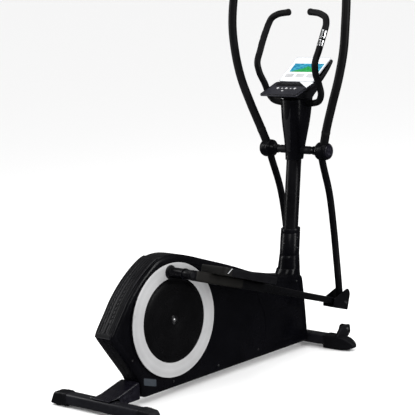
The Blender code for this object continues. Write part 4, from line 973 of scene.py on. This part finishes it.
crank = {     # profiles are (radius, distance from the middle)
    "disc": [(0, 0.0662), (0.010, 0.0661), (0.020, 0.0658), (0.0215, 0.0650), (0.024, 0.0650),
             (0.0255, 0.0654), (0.080, 0.0652), (0.140, 0.0647), (0.166, 0.0641),
             (0.1680, 0.0634), (0.1700, 0.0634), (0.1715, 0.0639), (0.1745, 0.0638),
             (0.1780, 0.0625), (0.2400, 0.0625), (0.2410, 0.0615), (0.2410, 0.0556),
             (0.2330, 0.0552), (0.2310, 0.0594), (0, 0.0594)],
    "ring": [(0.1800, 0.0628), (0.2420, 0.0628), (0.2420, 0.0645), (0.2408, 0.0656),
             (0.2385, 0.0660), (0.1840, 0.0660), (0.1812, 0.0655), (0.1800, 0.0644)],
    "plate": [(0, 0.0714), (0.0150, 0.0714), (0.0170, 0.0720), (0.0262, 0.0720),
              (0.0292, 0.0706), (0.0300, 0.0680), (0.0300, 0.0655), (0, 0.0655)],
    "axleCap": [(0, 0.0688), (0.0040, 0.0686), (0.0072, 0.0678), (0.0084, 0.0666),
                (0.0084, 0.0640), (0, 0.0640)],
    "boss": [(0, 0.0728), (0.0235, 0.0728), (0.0250, 0.0740), (0.0250, 0.0790),
             (0.0228, 0.0806), (0.0225, 0.0830), (0.0225, 0.1440), (0.0232, 0.1455),
             (0.0248, 0.1470), (0.0248, 0.1537), (0, 0.1537)]}
for side, sign in handed.items():
    piece("crank_disc_face_" + side, turnedOn(sign, crank["disc"], axleCentre, 128), discGloss,
          "crank", ["crank_disc_" + side], sharp=28)
    piece("disc_ring_band_" + side, turnedOn(sign, crank["ring"], axleCentre, 160, loop=True),
          silver, "crank", ["disc_ring_" + side], sharp=28)
    piece("crank_boss_plate_" + side, turnedOn(sign, crank["plate"], crankPin[side], 56),
          moulded, "crank")
    piece("crank_axle_cap_" + side, turnedOn(sign, crank["axleCap"], axleCentre, 40), steel,
          "crank")
    piece("crank_boss_" + side, turnedOn(sign, crank["boss"], crankPin[side], 56, 0.0006),
          glossy, "pedal_" + side, ["crank_pin_" + side])
print("cranks made")


swingArm = {
    "hub": [(0.0114, 0.100), (0.0180, 0.100), (0.0196, 0.104), (0.0200, 0.112),
            (0.0225, 0.120), (0.0300, 0.130), (0.0362, 0.136), (0.0392, 0.140),
            (0.0400, 0.145), (0.0400, 0.150), (0.0392, 0.1512), (0.0392, 0.1532),
            (0.0400, 0.1545), (0.0400, 0.176), (0.0390, 0.181), (0.0355, 0.1885),
            (0.0330, 0.1903), (0.0114, 0.1903)],
    "hubCap": [(0, 0.1962), (0.0180, 0.1960), (0.0262, 0.1950), (0.0292, 0.1930),
               (0.0300, 0.1905), (0, 0.1905)],
    "handle": [(0.165, 0.952, 0.925), (0.189, 0.9465, 1.000), (0.233, 0.9425, 1.117),
               (0.277, 0.945, 1.240), (0.303, 0.955, 1.360), (0.311, 0.966, 1.470),
               (0.307, 0.987, 1.580), (0.298, 1.004, 1.655)],
    "lower": [(0.153, 0.948, 0.885), (0.1525, 0.956, 0.850), (0.153, 0.990, 0.715),
              (0.156, 1.0045, 0.555), (0.163, 1.006, 0.405), (0.172, 1.001, 0.300),
              (0.172, 1.0050, 0.1995)],
    "gripRadius": 0.0193, "tubeRadius": 0.0160,
    "collar": {"heights": (0.985, 1.000), "radius": 0.0203},
    "top": {"from": 1.640, "radius": 0.0200},
    "eye": {"radii": (0.0084, 0.0205), "half": 0.026}}


# Right-hand points turned about the mast axle to the side's rest angle, and mirrored.
def placedOn(side, points):
    world = ahead(points)
    cos, sin = math.cos(swingTurn[side]), math.sin(swingTurn[side])
    y, z = world[:, 1] - pivot[0], world[:, 2] - pivot[1]
    return np.column_stack([handed[side] * world[:, 0], pivot[0] + y * cos - z * sin,
                            pivot[1] + y * sin + z * cos])


for side, sign in handed.items():
    body = "swing_" + side
    piece("swing_hub_bell_" + side, turnedOn(sign, swingArm["hub"], pivot, 72, 0.0008, loop=True),
          glossy, body, ["swing_hub_" + side])
    piece("swing_hub_cap_" + side, turnedOn(sign, swingArm["hubCap"], pivot, 64, 0.0008),
          deckGloss, body)
    grip = placedOn(side, swingArm["handle"])
    piece("handle_grip_" + side, roundTube(grip, swingArm["gripRadius"], 150, 36), foam,
          body, ["handle_upper_" + side])
    path = smoothPath(grip, 400)
    collar, top = swingArm["collar"], swingArm["top"]
    low = path[(path[:, 2] > collar["heights"][0]) & (path[:, 2] < collar["heights"][1])]
    swell = 1 - 0.05 * np.abs(np.linspace(-1, 1, len(low))) ** 4
    piece("handle_collar_" + side, sweep(low, collar["radius"] * circle(36), scale=swell), rubber,
          body)
    high = path[path[:, 2] > top["from"]]
    piece("handle_end_cap_" + side,
          sweep(np.vstack([high[:-1:3], high[-1:]]), top["radius"] * circle(36)), rubber,
          body)
    bore, outer = swingArm["eye"]["radii"]
    near, far = armX - swingArm["eye"]["half"], armX + swingArm["eye"]["half"]
    eye = turnedOn(sign, [(bore, near), (outer, near), (outer, far), (bore, far)],
                   forkPin[side], 48, 0.0012, loop=True)
    lower = roundTube(placedOn(side, swingArm["lower"]), swingArm["tubeRadius"], 120, 32,
                      roundEnd=True)
    piece("swing_arm_tube_" + side, joined(lower, eye), paint,
          body, ["swing_arm_lower_" + side])
print("swing arms made")


pedalArm = {     # heights above and below the centre line at distances along it
    "stations": (0, 0.475, 0.70, 1.0), "top": (0.0210, 0.0210, 0.0155, 0.0145),
    "low": (-0.0210, -0.0190, -0.0155, -0.0145), "half": 0.0176, "squareness": 0.42,
    "stopsShort": 0.052, "heel": {"radii": (0.0225, 0.0207), "to": 0.03, "edge": 0.0045},
    "sleeve": {"reach": (0.026, 0.330), "over": 0.0011, "taper": 0.060, "round": 0.004},
    "cap": [(0, 0.0232), (0.0105, 0.0230), (0.0140, 0.0218), (0.0150, 0.0196),
            (0.0150, 0.0170), (0, 0.0170)]}
forkBracket = {"starts": 0.0517, "ends": 0.024, "low": -0.030, "floorTop": -0.0238,
               "fins": (0.027, 0.032), "halfFloor": 0.0300,
               "bolt": [(0, 0.0068), (0.0060, 0.0064), (0.0090, 0.0052), (0.0100, 0.0030),
                        (0.0100, 0.0016), (0.0128, 0.0014), (0.0130, 0.0), (0, 0.0)]}


# World (y, z) of places along and above a pedal arm's centre line.
def onArm(side, along, above):
    along, above = np.broadcast_arrays(np.asarray(along, float), np.asarray(above, float))
    cos, sin = math.cos(slope[side]), math.sin(slope[side])
    y, z = crankPin[side]
    return np.stack([y + along * cos - above * sin, z + along * sin + above * cos], -1)


# Rounded box section carried along the arm: u = sgn(cos a) |cos a|^q across and
# v = sgn(sin a) |sin a|^q up, with the height following the arm's taper.
def armRings(side, start, end, grow):
    along = np.linspace(start, end, 60)
    top = np.interp(along, pedalArm["stations"], pedalArm["top"]) + grow
    low = np.interp(along, pedalArm["stations"], pedalArm["low"]) - grow
    u, v = (np.sign(circle(48)) * np.abs(circle(48)) ** pedalArm["squareness"]).T
    middle, tall = (top + low) / 2, (top - low) / 2
    yz = onArm(side, along[:, None], middle[:, None] + tall[:, None] * v)
    x = handed[side] * (armX + (pedalArm["half"] + grow) * u[None, :]) * np.ones((60, 1))
    return np.concatenate([x[..., None], yz], -1), along


def armTube(side):
    rings, _ = armRings(side, 0.0, pedalLength - pedalArm["stopsShort"], 0.0)
    heel = pedalArm["heel"]
    long, tall = heel["radii"]
    turn = np.radians(np.linspace(90, 270, 16))
    line = np.vstack([onArm(side, long * np.cos(turn), tall * np.sin(turn)),
                      onArm(side, (heel["to"],) * 2, (-tall, tall))])
    near, far = armX - pedalArm["half"], armX + pedalArm["half"]
    return joined(grid(rings, ends="flat"), sideSlab(side, line, near, far, heel["edge"], 5))


# The sleeve's rings shrink by a tenth towards both ends.
def armSleeve(side):
    sleeve = pedalArm["sleeve"]
    start, end = sleeve["reach"]
    rings, along = armRings(side, start, end, sleeve["over"])
    front = np.clip((end - along) / sleeve["taper"], 0.0, 1.0) ** 0.5
    rear = np.clip((along - start) / sleeve["round"], 0.0, 1.0) ** 0.5
    scale = (0.90 + 0.10 * np.minimum(front, rear))[:, None, None]
    middle = rings.mean(1, keepdims=True)
    return grid(middle + (rings - middle) * scale, ends="flat")


# Two fins with a floor between them.
def bracketFins(side):
    start, end = pedalLength - forkBracket["starts"], pedalLength + forkBracket["ends"]
    low, top, back = forkBracket["low"], forkBracket["floorTop"], start - 0.030
    fin = [(back, low), (end, low), (end, 0.046), (end - 0.012, 0.062), (end - 0.026, 0.066),
           (start - 0.020, 0.016), (back, 0.010)]
    finLine = softened(onArm(side, *np.array(fin).T), 0.010, 6)
    floorLine = softened(onArm(side, (back, end, end, back), (low, low, top, top)), 0.002, 4)
    near, far = forkBracket["fins"]
    half = forkBracket["halfFloor"]
    return joined(sideSlab(side, finLine, armX - far, armX - near, 0.0012),
                  sideSlab(side, finLine, armX + near, armX + far, 0.0012),
                  sideSlab(side, floorLine, armX - half, armX + half, 0.0008))


for side, sign in handed.items():
    body = "pedal_" + side
    piece("pedal_arm_tube_" + side, armTube(side), paint,
          body, ["pedal_arm_" + side])
    piece("pedal_arm_sleeve_" + side, armSleeve(side), sleeveGrey, body)
    endCover = [(r, armX + x) for r, x in pedalArm["cap"]]
    piece("pedal_arm_end_cap_" + side, turnedOn(sign, endCover, crankPin[side], 44, 0.0006),
          moulded, body)
    piece("fork_bracket_fins_" + side, bracketFins(side), paint,
          body, ["fork_bracket_" + side])
    bolts = [turnedOn(sign, [(r, armX + out * (forkBracket["fins"][1] + h))
                             for r, h in forkBracket["bolt"]], forkPin[side], 36, 0.0006)
             for out in (1, -1)]
    piece("fork_bolt_heads_" + side, joined(*bolts), darkSteel, body)


tread = {"start": 0.120, "end": 0.470, "x": 0.185, "half": 0.071, "base": 0.0213,
         "floor": 0.0290, "rim": 0.0560, "corner": 0.020, "changesAt": 0.168,
         "ribs": {"many": 11, "reach": (0.040, 0.060), "size": (0.0055, 0.0026), "short": 0.018},
         # the pale strip on the tray's outer wall is a painted highlight
         "paintedHighlight": {"along": (0.140, 0.1445, 0.1665, 0.162), "above": (0.030, 0.0535),
                   "depth": (0.2552, 0.2572)}}


# Tray on the arm: a round-cornered outline (along, across) whose rings step in and up over the
# wall, the rim, down the inside and over the floor.
def trayShape(side):
    start, end, half, change = (tread[key] for key in ("start", "end", "half", "changesAt"))
    base, floor, rim = tread["base"], tread["floor"], tread["rim"]
    flat = softened([(start, -half), (change - 0.0001, -half), (change + 0.0001, -half),
                     (end, -half), (end, half), (change + 0.0001, half),
                     (change - 0.0001, half), (start, half)], tread["corner"], 10)
    levels = [(0.012, base), (0.0030, base), (0.0012, base + 0.0010), (0.0006, base + 0.0040),
              (0.0, rim - 0.0100), (0.0, rim - 0.0022), (0.0007, rim - 0.0007), (0.0022, rim),
              (0.0040, rim), (0.0055, rim - 0.0008), (0.0062, rim - 0.0025),
              (0.0085, floor + 0.0030), (0.0100, floor + 0.0008), (0.0125, floor),
              (0.030, floor)]
    rows = []
    for move, height in levels:
        along, across = inwards(flat, move).T
        rows.append(np.column_stack([handed[side] * (tread["x"] + across),
                                     onArm(side, along, height)]))
    return grid(rows)


# Grip ribs across the tray floor, each a low rounded bar, and a toe stop at the front.
def treadRibs(side):
    ribs, floor, end = tread["ribs"], tread["floor"], tread["end"]
    half = tread["half"] - ribs["short"]
    angle = np.linspace(0, math.pi, 7)
    bars = []
    for middle in np.linspace(tread["start"] + ribs["reach"][0], end - ribs["reach"][1],
                              ribs["many"]):
        yz = onArm(side, middle + ribs["size"][0] * np.cos(angle),
                   floor - 0.0004 + ribs["size"][1] * np.sin(angle))
        rows = np.stack([np.column_stack([np.full(len(yz), handed[side] * (tread["x"] + x)), yz])
                         for x in (-half, -half + 0.003, half - 0.003, half)])
        flat = onArm(side, middle, floor)
        rows[[0, -1], :, 1:] = flat + (rows[[0, -1], :, 1:] - flat) * 0.6
        bars.append(grid(rows, ends="flat"))
    stop = [(end - 0.034, floor - 0.0005), (end - 0.009, floor - 0.0005),
            (end - 0.009, floor + 0.019), (end - 0.013, floor + 0.020)]
    line = softened(onArm(side, *np.array(stop).T), 0.003, 5)
    bars.append(sideSlab(side, line, tread["x"] - half, tread["x"] + half, 0.002))
    return joined(*bars)


for side in handed:
    body = "pedal_" + side
    tray = piece("foot_plate_tray_" + side, trayShape(side), treadGrey,
                 body, ["foot_plate_" + side])
    # The tray's rear up to changesAt takes the lighter grained treadGrey and the front the darker
    # moulded finish: partly two mouldings, partly painted light, a lit rear and painted shade on
    # the toe end
    tray.data.materials.append(moulded)     # the front part
    centres = np.empty(len(tray.data.polygons) * 3)
    tray.data.polygons.foreach_get("center", centres)
    direction = (math.cos(slope[side]), math.sin(slope[side]))
    reach = (centres.reshape(-1, 3)[:, 1:] - crankPin[side]) @ direction
    tray.data.polygons.foreach_set("material_index", (reach > tread["changesAt"]).astype(np.int32))
    # Pale strip on the tray's outer wall by its rear corner: a painted highlight where light
    # catches the edge
    paintedHighlight = tread["paintedHighlight"]
    strip = onArm(side, paintedHighlight["along"], np.repeat(paintedHighlight["above"], 2))
    piece("foot_plate_painted_highlight_" + side,
          sideSlab(side, softened(strip, 0.002, 4), *paintedHighlight["depth"], 0.0006), keyWhite,
          body)
    piece("foot_plate_ribs_" + side, treadRibs(side), rubber, body)
print("pedal arms made")


stabilisers = {
    "rear": {"forward": -0.326, "half": 0.310, "capLength": 0.100, "floor": 0.0063,
             "nose": {"past": 0.0, "lean": 0.028, "drop": 0.06, "narrow": 0.05, "power": 3,
                      "tip": 0.0}},
    "front": {"forward": 0.949, "half": 0.278, "capLength": 0.150, "floor": 0.0,
              "nose": {"past": 0.010, "lean": 0.0, "drop": 0.72, "narrow": 0.50, "power": 5,
                       "tip": 0.022}}}
baseTubeSize = {"halfDeep": 0.028, "low": 0.013, "high": 0.061, "corner": 0.014}
capTop, capHalf, capCorner = 0.063, 0.030, 0.012
wheel = {"forward": 1.001, "height": 0.082, "earDepth": (0.1985, 0.2125), "earEdge": 0.0025,
         "ear": [(-0.074, 0.048), (-0.081, 0.0625), (-0.043, 0.100), (0.014, 0.1025),
                 (0.020, 0.096), (0.020, 0.066), (0.002, 0.048)],
         "tyre": [(0.0048, 0.1742), (0.0120, 0.1742), (0.0130, 0.1765), (0.0160, 0.1765),
                  (0.0170, 0.1742), (0.0192, 0.1745), (0.0210, 0.1765), (0.0210, 0.1825),
                  (0.0197, 0.1835), (0.0197, 0.1850), (0.0210, 0.1860), (0.0210, 0.1955),
                  (0.0192, 0.1975), (0.0170, 0.1978), (0.0160, 0.1955), (0.0130, 0.1955),
                  (0.0120, 0.1978), (0.0048, 0.1978)],
         "bolt": [(0, 0.1722), (0.0070, 0.1726), (0.0080, 0.1740), (0.0046, 0.1744),
                  (0.0046, 0.2085), (0.0085, 0.2105), (0.0085, 0.2130), (0.0060, 0.2145),
                  (0, 0.2147)]}
levelFoot = {"place": 0.275,
             "pad": [(0, 0.0001), (0.0175, 0.0), (0.0196, 0.0010), (0.0200, 0.0022),
                     (0.0200, 0.0044), (0.0188, 0.0056), (0.0100, 0.0059), (0.0064, 0.0062),
                     (0.0060, 0.0075), (0.0060, 0.0275), (0.0050, 0.0280), (0, 0.0280)]}
saddle = {"outline": [(-0.350, 0.0614), (-0.2965, 0.0614), (-0.2965, 0.032), (-0.1735, 0.032),
                      (-0.1735, 0.1045), (-0.186, 0.1045), (-0.300, 0.0745), (-0.350, 0.0680)],
          "corner": 0.008, "half": 0.052, "edge": 0.006}
baseBolts = {"places": {"rear": 0.075, "front": 0.045}, "height": 0.0605, "head": (0.0095, 0.0042)}


# Round-cornered (y, z) section of a stabiliser part.
def boxLine(forward, halfDeep, low, high, corner):
    line = [(forward - halfDeep, low), (forward + halfDeep, low),
            (forward + halfDeep, high), (forward - halfDeep, high)]
    return ahead(softened(line, corner, 8))


# Cap from its joint to its nose: at s from 0 to 1 the section shrinks to its tip height by
# drop s^n and to its middle by narrow s^n, and the end leans back by lean at the top.
def endCap(sign, bar):
    nose, floor = bar["nose"], bar["floor"]
    half, length = bar["half"] + nose["past"], bar["capLength"] + nose["past"]
    s = np.r_[0.0, 0.03, np.linspace(0.10, 1.0, 26)][:, None]
    lineY, lineZ = boxLine(bar["forward"], capHalf, floor, capTop, capCorner).T[:, None]
    middle, tip = stationY + bar["forward"], floor + nose["tip"]
    fall = s ** nose["power"]
    rounding = 1 - 0.10 * np.clip((s - 0.93) / 0.07, 0, 1) ** 2 - 0.03 * (s < 0.02)
    z = tip + (lineZ - tip) * (1 - nose["drop"] * fall) * rounding
    y = middle + (lineY - middle) * (1 - nose["narrow"] * fall) * rounding
    high = (lineZ - floor) / (capTop - floor)
    x = sign * (half - length + length * s - nose["lean"] * s ** 2 * high)
    return grid(np.stack([np.broadcast_to(x, y.shape), y, z], -1), ends="flat")


for end, bar in stabilisers.items():
    joint = bar["half"] - bar["capLength"]
    piece(end + "_stabiliser_tube",
          slab(boxLine(bar["forward"], *baseTubeSize.values()), -joint, joint, 0.0005), baseTube,
          "frame", [end + "_stabiliser"])
    rib = boxLine(bar["forward"], capHalf + 0.0008, bar["floor"] + 0.004, capTop + 0.0008,
                  capCorner)
    for side, sign in handed.items():
        starts = [joint + 0.010 + 0.011 * step for step in range(3)]
        shapes = [endCap(sign, bar)] + [sideSlab(side, rib, at, at + 0.004, 0.0008)
                                        for at in starts]
        if end == "front":
            ear = softened(np.array(wheel["ear"]) + (wheel["forward"], 0), 0.006, 6)
            shapes.append(sideSlab(side, ahead(ear), *wheel["earDepth"], wheel["earEdge"]))
        piece(f"{end}_cap_{side}", joined(*shapes), moulded,
              "frame", [f"{end}_end_cap_{side}"])

wheelAt = ahead([(wheel["forward"], wheel["height"])])[0]
rearY = stationY + stabilisers["rear"]["forward"]
for side, sign in handed.items():
    piece("transport_wheel_tyre_" + side,
          turnedOn(sign, wheel["tyre"], wheelAt, 56, 0.0008, loop=True), rubber,
          "wheel_" + side, ["transport_wheel_" + side])
    piece("transport_wheel_bolt_" + side, turnedOn(sign, wheel["bolt"], wheelAt, 32), darkSteel,
          "frame")
    pad = lathe(levelFoot["pad"], (sign * levelFoot["place"], rearY, 0.0), 40, along=(0, 0, 1))
    piece("levelling_foot_pad_" + side, pad, rubber,
          "foot_" + side, ["levelling_foot_" + side])

saddleLine = ahead(softened(saddle["outline"], saddle["corner"], 6))
piece("rear_saddle_bridge", slab(saddleLine, -saddle["half"], saddle["half"], saddle["edge"], 6),
      deckGloss, "frame", ["rear_saddle_cover"])
heads = [button((x, stationY + stabilisers[end]["forward"], baseBolts["height"]), (0, 0, 1),
                *baseBolts["head"])
         for end, place in baseBolts["places"].items() for x in (-place, place)]
piece("stabiliser_bolts", joined(*heads), darkSteel, "frame")
print("base made")


floor = {"halfSize": 40.0, "colour": (0.96, 0.96, 0.96, 1), "rough": 0.9, "shine": 0.1}
corners = np.array([(-1, -1, 0), (1, -1, 0), (1, 1, 0), (-1, 1, 0)]) * floor["halfSize"]
floorMesh = bpy.data.meshes.new("floor")
floorMesh.from_pydata(corners.tolist(), [], [(0, 1, 2, 3)])
floorObject = bpy.data.objects.new("floor", floorMesh)
bpy.context.scene.collection.objects.link(floorObject)
floorObject.visible_glossy = False     # keeps the dark gloss dark, as black cards would
floorFinish = bpy.data.materials.new("paleFloor")
floorFinish.use_nodes = True
floorSurface = floorFinish.node_tree.nodes["Principled BSDF"]
floorSurface.inputs["Base Color"].default_value = floor["colour"]
floorSurface.inputs["Roughness"].default_value = floor["rough"]
floorSurface.inputs["Specular IOR Level"].default_value = floor["shine"]
floorMesh.materials.append(floorFinish)

skyStrength = {"plain": 1.0, "reflected": 0.10}
world = bpy.data.worlds.new("studio")
bpy.context.scene.world = world
world.use_nodes = True
sky = world.node_tree
background = sky.nodes["Background"]
background.inputs["Color"].default_value = (1, 1, 1, 1)
lightPath = sky.nodes.new("ShaderNodeLightPath")
strength = spread(sky, lightPath.outputs["Is Glossy Ray"], 0.0, 1.0, *skyStrength.values())
sky.links.new(strength, background.inputs["Strength"])


# Columns of a rotation that looks along a direction, with its own Z axis pointing back.
def lookAlong(way):
    back = -np.array(way, float) / np.linalg.norm(way)
    right = np.cross((0, 0, 1), back)
    right /= np.linalg.norm(right)
    return np.column_stack([right, np.cross(back, right), back])


def placedAt(place, turn):
    return Matrix.Translation(place) @ Matrix(turn.tolist()).to_4x4()


softboxes = {     # place, target, size in metres, power in watts
    "keyLight": ((2.2, -2.6, 3.6), (0, 0, 0.6), (1.6, 1.6), 60),
    "rightLight": ((3.4, 1.2, 1.8), (0, 0.2, 0.8), (0.45, 2.6), 90),
    "topLight": ((-0.4, 0.2, 4.2), (0, 0, 0), (3.0, 3.0), 60),
    "rearLight": ((-2.8, -1.4, 1.9), (0, 0, 0.7), (0.5, 2.4), 60)}
for name, (place, target, size, power) in softboxes.items():
    lamp = bpy.data.lights.new(name, "AREA")
    lamp.shape = "RECTANGLE"
    lamp.size, lamp.size_y = size
    lamp.energy = power
    lampObject = bpy.data.objects.new(name, lamp)
    lampObject.matrix_world = placedAt(place, lookAlong(np.array(target, float) - place))
    bpy.context.scene.collection.objects.link(lampObject)

view = {"place": (4.642, -4.8863, 1.9123), "turn": 43.746, "down": 9.89, "roll": -3.676,
        "lens": 137.65, "film": 36.0, "reach": 60.0}
turn, down, roll = (math.radians(view[key]) for key in ("turn", "down", "roll"))
back = np.array((math.sin(turn) * math.cos(down), -math.cos(turn) * math.cos(down),
                 math.sin(down)))
right, up, back = lookAlong(-back).T
rolled = np.column_stack([math.cos(roll) * right + math.sin(roll) * up,
                          math.cos(roll) * up - math.sin(roll) * right, back])
cameraData = bpy.data.cameras.new("camera")
cameraData.lens = view["lens"]
cameraData.sensor_width = view["film"]
cameraData.clip_end = view["reach"]
camera = bpy.data.objects.new("camera", cameraData)
camera.matrix_world = placedAt(view["place"], rolled)
bpy.context.scene.collection.objects.link(camera)
bpy.context.scene.camera = camera
bpy.context.scene.view_settings.view_transform = "Standard"
